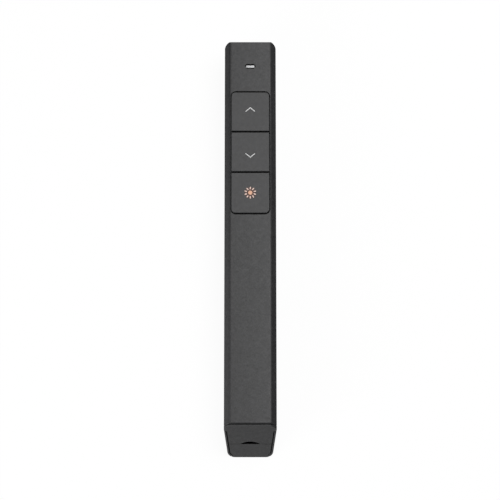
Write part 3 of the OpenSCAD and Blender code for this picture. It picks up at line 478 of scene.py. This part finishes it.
def polished_disc(name, colour_value, wave=2.5 * MM, wave_height=0.004 * MM):
    """Polished acrylic: clear, with the faint waves of its moulding."""
    material, tree, place = start_material(name)
    waves = add(tree, "ShaderNodeTexNoise", {"Vector": place, "Scale": 1 / wave})
    inputs = follow(tree, waves, colour_value, tones=(0.98, 1.0), depth=wave_height)
    return surfaced(material, {**inputs, "Roughness": 0.06, "IOR": 1.49, "Transmission Weight": 1.0})


def drawn_metal(name, colour_value, roughness, stretch, line=0.12 * MM, depth=0.004 * MM, stain=3 * MM):
    """Drawn, rolled or turned metal: fine lines that blur its shine, and light stains in its colour.

    The lines are as long as line, and stretch draws them together along the axis that they run across. At
    their real width of about 0.01 mm they show as a satin sheen. With stretch 1 all round they have no
    direction, as on a pressed can.
    """
    material, tree, place = start_material(name)
    drawn = add(tree, "ShaderNodeMapping", {"Vector": place, "Scale": stretch})
    lines = add(tree, "ShaderNodeTexNoise", {"Vector": drawn, "Scale": 1 / line, "Detail": 1.0})
    stains = add(tree, "ShaderNodeTexNoise", {"Vector": place, "Scale": 1 / stain})
    inputs = follow(tree, stains, colour_value, tones=(0.92, 1.04))
    inputs.update(follow(tree, lines, roughness=(roughness - 0.06, roughness + 0.08), depth=depth))
    return surfaced(material, {**inputs, "Metallic": 1.0})


def plain_moulding(name, colour_value, roughness, ior=1.5, grain=0.25 * MM, depth=0.006 * MM):
    """Small technical moulding or casting: even colour with a faint grain. The real grain is about 0.05 mm
    wide; it is drawn as wide as grain, so that it shows."""
    material, tree, place = start_material(name)
    grains = add(tree, "ShaderNodeTexNoise", {"Vector": place, "Scale": 1 / grain})
    inputs = follow(tree, grains, colour_value, tones=(0.9, 1.06), depth=depth)
    return surfaced(material, {**inputs, "Roughness": roughness, "IOR": ior})


def black_felt(name, colour_value, nap=1.5 * MM):
    """Black felt: matt, with the uneven nap of its fibres."""
    material, tree, place = start_material(name)
    naps = add(tree, "ShaderNodeTexNoise", {"Vector": place, "Scale": 1 / nap})
    inputs = follow(tree, naps, colour_value, tones=(0.7, 1.2))
    return surfaced(material, {**inputs, "Roughness": 0.95, "Specular IOR Level": 0.1})


def solder_mask(name, mask, tracks, pitch=0.75 * MM, lane=0.12 * MM, run=3.1 * MM, rise=0.03 * MM,
                blotch=0.5 * MM):
    """Printed board: green mask over copper, whose tracks show as paler, slightly raised lanes that lie one
    pitch apart and have a cross lane after each run."""
    material, tree, place = start_material(name)
    lanes = add(tree, "ShaderNodeTexBrick", {"Vector": place, "Scale": 1.0, "Mortar Size": lane,
                                             "Mortar Smooth": 0.3, "Brick Width": run, "Row Height": pitch},
                offset=0.37).outputs["Fac"]
    blotches = add(tree, "ShaderNodeTexNoise", {"Vector": place, "Scale": 1 / blotch})
    blend = add(tree, "ShaderNodeMix", {"Factor": lanes, "A": mask, "B": tracks}, data_type="RGBA")
    return surfaced(material, {"Base Color": blend, **follow(tree, blotches, roughness=(0.25, 0.4)),
                               **follow(tree, lanes, depth=rise)})


def shrink_jacket(name, jacket, band, band_start, wrinkle=1.6 * MM, depth=0.02 * MM):
    """Printed shrink film on the cell: glossy, dark, with one pale band from band_start on along Y."""
    material, tree, place = start_material(name)
    along = add(tree, "ShaderNodeSeparateXYZ", {"Vector": place}).outputs["Y"]
    in_band = add(tree, "ShaderNodeMath", {0: along, 1: band_start}, operation="GREATER_THAN")
    blend = add(tree, "ShaderNodeMix", {"Factor": in_band, "A": jacket, "B": band}, data_type="RGBA")
    wrinkles = add(tree, "ShaderNodeTexNoise", {"Vector": place, "Scale": 1 / wrinkle})
    return surfaced(material, {"Base Color": blend, "IOR": 1.54,
                               **follow(tree, wrinkles, roughness=(0.22, 0.34), depth=depth)})


# ---- Putting finishes and pieces in place ----

def dress(material, *nodes):
    """Gives construction nodes their material."""
    for name in nodes:
        for slot in NODES[name].material_slots:
            slot.material = material


def soften(width, *nodes):
    """Joins the node's loose triangles and rounds its cut edges by width."""
    for name in nodes:
        join = NODES[name].modifiers.new("Joined", "WELD")
        join.merge_threshold = WELD_DISTANCE
        flat = NODES[name].modifiers.new("Whole flats", "DECIMATE")
        flat.decimate_type = "DISSOLVE"
        flat.angle_limit = FLAT_ANGLE
        edge = NODES[name].modifiers.new("Soft edges", "BEVEL")
        edge.width = width
        edge.segments = EDGE_SEGMENTS
        edge.limit_method = "ANGLE"
        edge.angle_limit = CUT_ANGLE
        edge.use_clamp_overlap = False
        edge.loop_slide = False
        even = NODES[name].modifiers.new("Even shading", "WEIGHTED_NORMAL")
        even.weight = FACE_WEIGHT
        even.keep_sharp = False


def seat(piece, body, slot, material, *replaced):
    """Puts a new piece on its body, with its material, in place of the nodes that it stands for."""
    piece.data.materials.append(material)
    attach(piece, body)
    if replaced:
        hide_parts(*replaced)


def middle(node):
    """Middle of a node's box."""
    low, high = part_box(node)
    return (low + high) / 2


class CLICKER_OT_shells(Operator):
    """Dress the front shell, the rear shell, the battery door and the receiver cap"""
    bl_idname = "clicker.shells"
    bl_label = "Shells"

    def execute(self, context):
        look = context.scene.clicker_plastics
        edges = context.scene.clicker_edges
        shells = ("front_housing", "rear_housing", "battery_door")
        eroded = (look.shell, look.shell_roughness, look.shell_sheen, look.shell_grain, look.shell_uneven,
                  look.shell_relief)
        dress(moulded_abs("abs_spark_eroded", *eroded, crown=look.crown), *shells, "receiver_cap")
        soften(edges.shells, *shells)
        soften(edges.cap, "receiver_cap")
        return {"FINISHED"}


class CLICKER_OT_keys(Operator):
    """Dress the three keys"""
    bl_idname = "clicker.keys"
    bl_label = "Keys"

    def execute(self, context):
        look = context.scene.clicker_plastics
        marks = context.scene.clicker_marks
        satin = (look.keys, look.key_roughness, look.key_sheen, look.key_grain, look.key_uneven,
                 look.key_relief)
        dress(moulded_abs("abs_satin", *satin), "button_up", "button_down")
        sun_middle = (0.0, middle("switch_base_laser").y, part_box("button_laser")[1].z)
        stain = (sun_middle, marks.stain_reach, marks.stain)
        dress(moulded_abs("abs_satin_stained", *satin, stain=stain), "button_laser")
        return {"FINISHED"}


def chevron(marks, edge, tip, direction, top):
    """Band of even stroke bent at its tip, which points along direction (+1 or -1) in Y.

    Across the band a point runs from the outer edge (a = 0) to the inner edge (a = 1); the outer edge joins
    the feet and the tip, and the inner edge lies one stroke behind it, mitred at the tip.
    """
    run = np.array([marks.chevron_half, marks.chevron_rise])
    run /= np.linalg.norm(run)
    side = np.array([-1.0, 0.0, 1.0])
    outer = np.stack([side * marks.chevron_half, -abs(side) * marks.chevron_rise], axis=-1)
    foot = np.array([marks.chevron_half - marks.chevron_stroke * run[1],
                     -marks.chevron_rise - marks.chevron_stroke * run[0]])
    inner = np.array([[-foot[0], foot[1]], [0, -marks.chevron_stroke / run[0]], foot])
    inset, height = pillow_levels(marks.depth, edge)
    across = np.concatenate([inset / marks.chevron_stroke, 1 - inset[::-1] / marks.chevron_stroke])
    level = np.concatenate([height, height[::-1]])
    flat = outer[:, None, :] + (inner - outer)[:, None, :] * across[None, :, None]
    points = np.stack([flat[..., 0], tip + direction * flat[..., 1],
                       top - marks.depth + np.broadcast_to(level, flat.shape[:2])], axis=-1)
    return capped(points)


def sun(marks, edge, centre, top):
    """Disc and rays as flat pads: each ring of a pad is its outline drawn in by the inset of its level."""
    inset, height = pillow_levels(marks.depth, edge)
    level = top - marks.depth + height
    size = 2 * marks.sun_disc - 2 * inset
    disc = capped(rounded_rings(size, size, size / 2, level))
    wide = marks.ray_width - 2 * inset
    ray = capped(rounded_rings(marks.ray_end - marks.ray_start - 2 * inset, wide, wide / 2, level))
    ray[..., 0] += (marks.ray_start + marks.ray_end) / 2
    turn = (math.pi / 2 + np.arange(marks.rays) * math.tau / marks.rays)[:, None, None]
    out, aside, up = np.broadcast_to(np.moveaxis(ray, -1, 0)[:, None], (3, marks.rays, *ray.shape[:2]))
    rays = np.stack([out * np.cos(turn) - aside * np.sin(turn),
                     out * np.sin(turn) + aside * np.cos(turn), up], axis=-1)
    disc[..., 1] += centre
    rays[..., 1] += centre
    return disc, rays


class CLICKER_OT_marks(Operator):
    """Fill the figures in the keys with ink"""
    bl_idname = "clicker.marks"
    bl_label = "Key marks"

    def execute(self, context):
        marks = context.scene.clicker_marks
        edge = context.scene.clicker_edges.marks
        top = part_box("button_up")[1].z - marks.sink
        pale = print_ink("ink_pale_grey", marks.pale_ink)
        warm = print_ink("ink_orange", marks.warm_ink)
        for key, offset, direction in (("up", marks.up_tip, 1), ("down", -marks.down_tip, -1)):
            points = chevron(marks, edge, middle("switch_base_" + key).y + offset, direction, top)
            seat(finish_mesh("mark_" + key, points), "key_" + key, "key_plastic", pale)
        disc, rays = sun(marks, edge, middle("switch_base_laser").y, top)
        seat(finish_mesh("mark_laser_disc", disc), "key_laser", "key_plastic", warm)
        made = finish_mesh("mark_laser_rays", rays, grid_quads(*rays.shape[1:3], copies=len(rays)))
        seat(made, "key_laser", "key_plastic", print_ink("ink_pale_orange", marks.ray_ink))
        return {"FINISHED"}


def guide_rings(lamp, low, high):
    """Light guide from its foot up, as rounded rectangles: the stem, the underside and the upper side of the
    flange, and the tip, whose rings are drawn in along a quarter round at its upper edge."""
    flange_low = high.z - lamp.flange_drop
    flange_high = flange_low + lamp.flange_height
    inset, level = pillow_levels(high.z - low.z, lamp.edge)
    stem = [lamp.tip_width - 2 * lamp.stem_inset, lamp.tip_length]
    flange = [lamp.tip_width + 2 * lamp.flange, lamp.tip_length + 2 * lamp.flange]
    tip = [lamp.tip_width, lamp.tip_length]
    sizes = np.concatenate([[stem, stem, flange, flange, tip], tip - 2 * inset[1:, None]])
    heights = np.concatenate([[low.z, flange_low, flange_low, flange_high, flange_high], low.z + level[1:]])
    corners = np.concatenate([sizes[:4, 1] / 2, [lamp.tip_corner], lamp.tip_corner - inset[1:]])
    rings = capped(rounded_rings(sizes[:, 0], sizes[:, 1], corners, heights))
    rings[..., 1] += (low.y + high.y) / 2
    return rings


class CLICKER_OT_lamp(Operator):
    """Make the light guide and dress the status lamp under it"""
    bl_idname = "clicker.lamp"
    bl_label = "Status lamp"

    def execute(self, context):
        lamp = context.scene.clicker_lamp
        low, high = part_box("led_window")
        made = finish_mesh("light_guide", guide_rings(lamp, low, high))
        milky = milky_guide_with_painted_shade("polycarbonate_milky_and_painted_shade", lamp.milky, high.z, lamp.clear)
        seat(made, "housing", "clear_plastic", milky, "led_window")
        resin = context.scene.clicker_mouldings.lamp_resin
        dress(plain_moulding("lamp_resin", resin, roughness=0.3, ior=1.53), "status_led")
        return {"FINISHED"}


class CLICKER_OT_board(Operator):
    """Dress the two boards and what is soldered to them"""
    bl_idname = "clicker.board"
    bl_label = "Boards"

    def execute(self, context):
        inner = context.scene.clicker_mouldings
        can = context.scene.clicker_metals.can
        boards = ("main_board", "receiver_board")
        chips = ("radio_chip", "receiver_chip")
        crystals = ("radio_crystal", "receiver_crystal")
        dress(solder_mask("solder_mask_green", inner.solder_mask, inner.tracks), *boards)
        dress(plain_moulding("epoxy_package", inner.package, roughness=0.5), *chips)
        nickel = drawn_metal("nickel_can", can, roughness=0.28, stretch=(1.0, 1.0, 1.0), line=0.4 * MM)
        dress(nickel, *crystals)
        dress(plain_moulding("ceramic_chip", inner.ceramic, roughness=0.45, ior=1.6), "board_capacitors")
        soften(context.scene.clicker_edges.board, "main_board", *chips, *crystals, "board_capacitors")
        return {"FINISHED"}


def dome_rings(domes, low, high, count=48):
    """Shallow dome of even sheet, turned about the upright through its middle. At a share s of the radius
    its underside stands (height - sheet) * (1 - s * s) above the rim, and its upper side one sheet higher.
    The rings run over the upper side from the middle to the rim, and back to the middle under it."""
    share_out = np.linspace(0, 1, domes.rings)[1:]
    radius = (high.x - low.x) / 2 * np.concatenate([share_out, share_out[::-1]])
    under = low.z + (high.z - low.z - domes.sheet) * (1 - share_out ** 2)
    height = np.concatenate([under + domes.sheet, under[::-1]])
    angle = np.arange(count) * math.tau / count
    x, y = radius[:, None] * np.cos(angle), (low.y + high.y) / 2 + radius[:, None] * np.sin(angle)
    rings = capped(np.stack([x, y, height[:, None] + 0 * x], axis=-1))
    rings[[0, -1], :, 2] = np.array([high.z, high.z - domes.sheet])[:, None]
    return rings


class CLICKER_OT_switches(Operator):
    """Make the snap domes and dress the push switches"""
    bl_idname = "clicker.switches"
    bl_label = "Push switches"

    def execute(self, context):
        inner = context.scene.clicker_mouldings
        steel = drawn_metal("stamped_steel", context.scene.clicker_metals.steel, roughness=0.3,
                            stretch=(1.0, 12.0, 1.0))
        bases, plungers, covers = ([kind + key for key in KEYS]
                                   for kind in ("switch_base_", "switch_plunger_", "switch_cover_"))
        dress(plain_moulding("switch_nylon_black", inner.base, roughness=0.45), *bases)
        dress(plain_moulding("plunger_nylon", inner.plunger, roughness=0.4), *plungers)
        dress(steel, *covers)
        soften(context.scene.clicker_edges.switches, *covers, *plungers)
        for key in KEYS:
            low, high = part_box("switch_dome_" + key)
            made = finish_mesh("snap_dome_" + key, dome_rings(context.scene.clicker_domes, low, high))
            seat(made, "housing", "steel", steel, "switch_dome_" + key)
            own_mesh(made)
        return {"FINISHED"}


class CLICKER_OT_laser(Operator):
    """Dress the laser module and the clear disc in the nose"""
    bl_idname = "clicker.laser"
    bl_label = "Laser"

    def execute(self, context):
        metals = context.scene.clicker_metals
        acrylic = context.scene.clicker_mouldings.acrylic
        turned_parts = ("laser_barrel", "laser_diode")
        brass = drawn_metal("turned_brass", metals.brass, roughness=0.27, stretch=(1.0, 14.0, 1.0))
        dress(brass, *turned_parts)
        dress(drawn_metal("tinned_wire", metals.tin, roughness=0.3, stretch=(1.0, 6.0, 1.0)), "laser_leads")
        dress(polished_disc("acrylic_polished", acrylic), "laser_lens", "laser_window")
        soften(context.scene.clicker_edges.laser, *turned_parts, "laser_window")
        return {"FINISHED"}


def cell_profile(cell, start, end, radius, steps=6):
    """Outline of the cell from its rear middle to its front middle, as (y, radius): an end plate that lies
    deeper than the rim, a rolled edge of quarter round at each end, and the straight jacket between them."""
    turn = np.linspace(0, math.pi / 2, steps)
    roll = np.stack([1 - np.sin(turn), np.cos(turn) - 1], axis=-1) * cell.roll
    rear = np.stack([start + roll[::-1, 0], radius + roll[::-1, 1]], axis=-1)
    front = np.stack([end - roll[:, 0], radius + roll[:, 1]], axis=-1)
    rim = radius - cell.rim
    plate = rim - cell.plate_gap
    return np.concatenate([[[start + cell.recess, 0.0], [start + cell.recess, plate], [start, rim]],
                           rear, front,
                           [[end, rim], [end - cell.recess, plate], [end - cell.recess, 0.0]]])


def spring_rings(cell, start, end, axis_z, steps=200, sides=12):
    """Wire carried along a coil that narrows. With the share t of the coil its radius goes from that at the
    plate to that at the cell, and its place along Y from start to end, apart from the flat part of a turn
    at either end. A ring of points lies round each point of the coil."""
    t = np.linspace(0, 1, steps)
    flat = cell.flat_turns / cell.turns
    rise = np.clip((t - flat) / (1 - 2 * flat), 0, 1)
    angle = math.tau * cell.turns * t
    radius = cell.plate_coil + (cell.cell_coil - cell.plate_coil) * t
    outward = np.stack([np.cos(angle), 0 * t, np.sin(angle)], axis=-1)
    centre = np.stack([0 * t, start + (end - start) * rise, axis_z + 0 * t], axis=-1)
    middle_line = centre + outward * radius[:, None]
    around = np.arange(sides) * math.tau / sides
    offset = (np.cos(around)[None, :, None] * outward[:, None, :]
              + np.sin(around)[None, :, None] * np.array([0.0, 1.0, 0.0]))
    return capped(middle_line[:, None, :] + cell.wire / 2 * offset)


class CLICKER_OT_battery(Operator):
    """Make the cell and its spring and dress the contacts"""
    bl_idname = "clicker.battery"
    bl_label = "Battery"

    def execute(self, context):
        cell = context.scene.clicker_cell
        low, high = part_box("battery_cell")
        axis_z = (low.z + high.z) / 2
        profile = cell_profile(cell, low.y, high.y, (high.z - low.z) / 2)
        made = finish_mesh("cell_jacket", turned(profile, axis_z))
        film = shrink_jacket("shrink_film", cell.jacket, cell.band, high.y - cell.band_length)
        seat(made, "housing", "cell_jacket", film, "battery_cell")
        low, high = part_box("negative_spring")
        rings = spring_rings(cell, low.y + cell.wire / 2, high.y - cell.wire / 2, axis_z)
        made = finish_mesh("contact_spring", rings)
        nickel = drawn_metal("nickel_plate", context.scene.clicker_metals.nickel, roughness=0.25,
                             stretch=(1.0, 10.0, 1.0))
        seat(made, "housing", "steel", nickel, "negative_spring")
        contacts = ("battery_terminal", "positive_contact", "negative_contact")
        dress(nickel, *contacts)
        soften(context.scene.clicker_edges.contacts, *contacts)
        return {"FINISHED"}


class CLICKER_OT_screws(Operator):
    """Dress the screws"""
    bl_idname = "clicker.screws"
    bl_label = "Screws"

    def execute(self, context):
        screws = ("housing_screws", "board_screws")
        zinc = context.scene.clicker_metals.zinc
        dress(drawn_metal("black_zinc", zinc, roughness=0.35, stretch=(1.0, 1.0, 8.0)), *screws)
        soften(context.scene.clicker_edges.screws, *screws)
        return {"FINISHED"}


def plug_sheet(plug, low, high, corner_steps=8):
    """Sheet bent round the plug: straight sides joined by quarter rounds, carried from root to mouth. The
    quads whose middles lie well inside a latch window are left out. Gives the points and the quads."""
    half_x, half_z = (high.x - low.x) / 2, (high.z - low.z) / 2
    middle_z = (high.z + low.z) / 2
    inner_edge = plug.window_offset - plug.window_width / 2
    outer_edge = plug.window_offset + plug.window_width / 2
    stops = np.array([-outer_edge, -inner_edge, 0.0, inner_edge, outer_edge])
    turn = np.linspace(0, math.pi / 2, corner_steps)
    arc = np.stack([np.cos(turn), np.sin(turn)], axis=-1) * plug.corner
    centre = np.array([half_x - plug.corner, half_z - plug.corner])
    right = arc + centre
    top = np.stack([stops[::-1], half_z + 0 * stops], axis=-1)
    upper = np.concatenate([right, top, (right * [-1, 1])[::-1]])
    outline = np.concatenate([upper, (upper * [1, -1])[::-1]])
    window = high.y - plug.window_back
    y = np.array([low.y, window - plug.window_length / 2, window + plug.window_length / 2, high.y])
    x, z = outline.T
    points = np.stack(np.broadcast_arrays(x, y[:, None], middle_z + z), axis=-1)
    quads = grid_quads(*points.shape[:2])
    middles = points.reshape(-1, 3)[quads].mean(axis=1)
    beside = np.abs(np.abs(middles[:, 0]) - plug.window_offset) < plug.window_width / 4
    level = np.abs(middles[:, 1] - window) < plug.window_length / 4
    return points, quads[~(beside & level)]


class CLICKER_OT_plug(Operator):
    """Make the sheet shell of the receiver's plug and dress what is inside it"""
    bl_idname = "clicker.plug"
    bl_label = "Receiver plug"

    def execute(self, context):
        plug = context.scene.clicker_plug
        edges = context.scene.clicker_edges
        metals = context.scene.clicker_metals
        points, quads = plug_sheet(plug, *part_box("plug_shell"))
        made = finish_mesh("plug_sheet", points, quads)
        wall = made.modifiers.new("Sheet", "SOLIDIFY")
        wall.thickness = plug.sheet
        wall.offset = -1.0
        edge = made.modifiers.new("Edge", "BEVEL")
        edge.width = edges.plug
        edge.segments = EDGE_SEGMENTS
        edge.limit_method = "ANGLE"
        edge.angle_limit = SHEET_CUT_ANGLE
        nickel = drawn_metal("plug_nickel", metals.plug, roughness=0.22, stretch=(1.0, 12.0, 1.0))
        seat(made, "receiver", "steel", nickel, "plug_shell")
        insulator = context.scene.clicker_mouldings.insulator
        dress(plain_moulding("plug_insulator", insulator, roughness=0.4), "plug_carrier")
        gold = drawn_metal("gold_flash", metals.gold, roughness=0.22, stretch=(1.0, 8.0, 1.0))
        dress(gold, "plug_contacts")
        soften(edges.carrier, "plug_carrier")
        return {"FINISHED"}


# ---- Stage ----

def seen_white(tree):
    """1 for the rays that show the background: those of the camera, of gloss and of clear parts."""
    rays = add(tree, "ShaderNodeLightPath").outputs
    either = add(tree, "ShaderNodeMath", {0: rays["Is Camera Ray"], 1: rays["Is Glossy Ray"]},
                 operation="MAXIMUM")
    return add(tree, "ShaderNodeMath", {0: either, 1: rays["Is Transmission Ray"]}, operation="MAXIMUM")


def floor_material(stage, grain=2 * MM):
    """Matt painted board: white with a trace of grain; part of its white stays where a shadow falls."""
    material, tree, place = start_material("painted_board")
    grains = add(tree, "ShaderNodeTexNoise", {"Vector": place, "Scale": 1 / grain})
    paint = follow(tree, grains, stage.floor, tones=(0.995, 1.0))["Base Color"]
    matt = add(tree, "ShaderNodeBsdfDiffuse", {"Color": paint})
    glow = add(tree, "ShaderNodeEmission", {"Color": WHITE, "Strength": 1.0})
    amount = add(tree, "ShaderNodeMath", {0: seen_white(tree), 1: stage.floor_glow}, operation="MULTIPLY")
    mix = add(tree, "ShaderNodeMixShader", {0: amount, 1: matt, 2: glow})
    add(tree, "ShaderNodeOutputMaterial", {"Surface": mix})
    return material


def studio_world(stage):
    """Plain light from all around, which the camera and the shiny parts see as white."""
    world = bpy.data.worlds.new("studio")
    tree = empty_tree(world)
    strength = add(tree, "ShaderNodeMapRange", {"Value": seen_white(tree), "To Min": stage.ambient,
                                                "To Max": 1.0})
    light = add(tree, "ShaderNodeBackground", {"Color": WHITE, "Strength": strength})
    add(tree, "ShaderNodeOutputWorld", {"Surface": light})
    bpy.context.scene.world = world


def area_lamp(name, centre, aim, size, watts):
    """Soft rectangular lamp that faces a point."""
    lamp = bpy.data.lights.new(name, "AREA")
    lamp.shape = "RECTANGLE"
    lamp.size, lamp.size_y = size
    lamp.energy = watts
    made = bpy.data.objects.new(name, lamp)
    bpy.context.scene.collection.objects.link(made)
    made.location = centre
    made.rotation_euler = (made.location - aim).to_track_quat("Z", "Y").to_euler()


def stage_sheet(name, corners, material):
    """Flat four-cornered piece of the stage."""
    mesh = bpy.data.meshes.new(name)
    mesh.from_pydata(np.asarray(corners).tolist(), [], [(0, 1, 2, 3)])
    mesh.materials.append(material)
    made = bpy.data.objects.new(name, mesh)
    bpy.context.scene.collection.objects.link(made)
    return made


def flag(name, centre, size, material):
    """Upright dark card beside the object, along Y; it shows only in the plastic's sheen."""
    along = np.array([0.0, size[0] / 2, 0.0])
    up = np.array([0.0, 0.0, size[1] / 2])
    corners = np.array([-along - up, along - up, along + up, up - along]) + centre
    made = stage_sheet(name, corners, material)
    made.visible_camera = False
    made.visible_diffuse = False
    made.visible_shadow = False


def aim_camera(stage):
    """Camera in the body's middle plane, at the tail's side, at its elevation and distance from its aim."""
    data = bpy.data.cameras.new("camera")
    data.lens = stage.lens
    data.sensor_width = stage.sensor
    data.clip_start = stage.near
    camera = bpy.data.objects.new("camera", data)
    bpy.context.scene.collection.objects.link(camera)
    back = Vector((0.0, -math.cos(stage.elevation), math.sin(stage.elevation)))
    camera.location = Vector(stage.aim) + stage.distance * back
    camera.rotation_euler = (math.pi / 2 - stage.elevation, 0.0, 0.0)
    bpy.context.scene.camera = camera


class CLICKER_OT_stage(Operator):
    """Set up the floor, the lamps, the surrounding light and the camera"""
    bl_idname = "clicker.stage"
    bl_label = "Stage"

    def execute(self, context):
        stage = context.scene.clicker_stage
        lights = context.scene.clicker_lights
        corners = np.array([[-1.0, -1.0, 0.0], [1.0, -1.0, 0.0], [1.0, 1.0, 0.0], [-1.0, 1.0, 0.0]])
        corners *= stage.floor_half
        corners[:, 2] = CAD_BOUNDS[0][2] - stage.floor_gap
        stage_sheet("floor", corners, floor_material(stage))
        felt = black_felt("black_felt", lights.felt)
        flag("flag_right", lights.right_flag, lights.right_size, felt)
        flag("flag_left", lights.left_flag, lights.left_size, felt)
        studio_world(stage)
        aim = Vector(stage.aim)
        area_lamp("softbox_above", lights.soft_place, aim, lights.soft_size, lights.soft_power)
        area_lamp("fill_left", lights.fill_place, aim, lights.fill_size, lights.fill_power)
        aim_camera(stage)
        context.scene.view_settings.view_transform = "Standard"
        return {"FINISHED"}


OPERATORS = (CLICKER_OT_shells, CLICKER_OT_keys, CLICKER_OT_marks, CLICKER_OT_lamp, CLICKER_OT_board,
             CLICKER_OT_switches, CLICKER_OT_laser, CLICKER_OT_battery, CLICKER_OT_screws, CLICKER_OT_plug,
             CLICKER_OT_stage)
GROUPS = {"clicker_plastics": ClickerPlastics, "clicker_edges": ClickerEdges,
          "clicker_marks": ClickerMarks, "clicker_lamp": ClickerLamp,
          "clicker_mouldings": ClickerMouldings, "clicker_metals": ClickerMetals,
          "clicker_domes": ClickerDomes, "clicker_cell": ClickerCell, "clicker_plug": ClickerPlug,
          "clicker_lights": ClickerLights, "clicker_stage": ClickerStage}


class CLICKER_PT_panel(Panel):
    """Sidebar panel with the sizes, the colours and the steps"""
    bl_label = "Presentation clicker"
    bl_idname = "CLICKER_PT_panel"
    bl_space_type = "VIEW_3D"
    bl_region_type = "UI"
    bl_category = "Clicker"

    def draw(self, context):
        for name, group in GROUPS.items():
            box = self.layout.box()
            box.label(text=group.__doc__)
            for value in group.__annotations__:
                box.prop(getattr(context.scene, name), value)
        for step in OPERATORS:
            self.layout.operator(step.bl_idname)


def register():
    for group in GROUPS.values():
        bpy.utils.register_class(group)
    for step in OPERATORS + (CLICKER_PT_panel,):
        bpy.utils.register_class(step)
    for name, group in GROUPS.items():
        setattr(bpy.types.Scene, name, PointerProperty(type=group))


def unregister():
    for name in GROUPS:
        delattr(bpy.types.Scene, name)
    for step in (CLICKER_PT_panel,) + OPERATORS[::-1]:
        bpy.utils.unregister_class(step)
    for group in reversed(list(GROUPS.values())):
        bpy.utils.unregister_class(group)


def main():
    """Registers the classes and runs every step in order."""
    register()
    for step in OPERATORS:
        group, name = step.bl_idname.split(".")
        getattr(getattr(bpy.ops, group), name)()


if __name__ == "__main__":
    main()
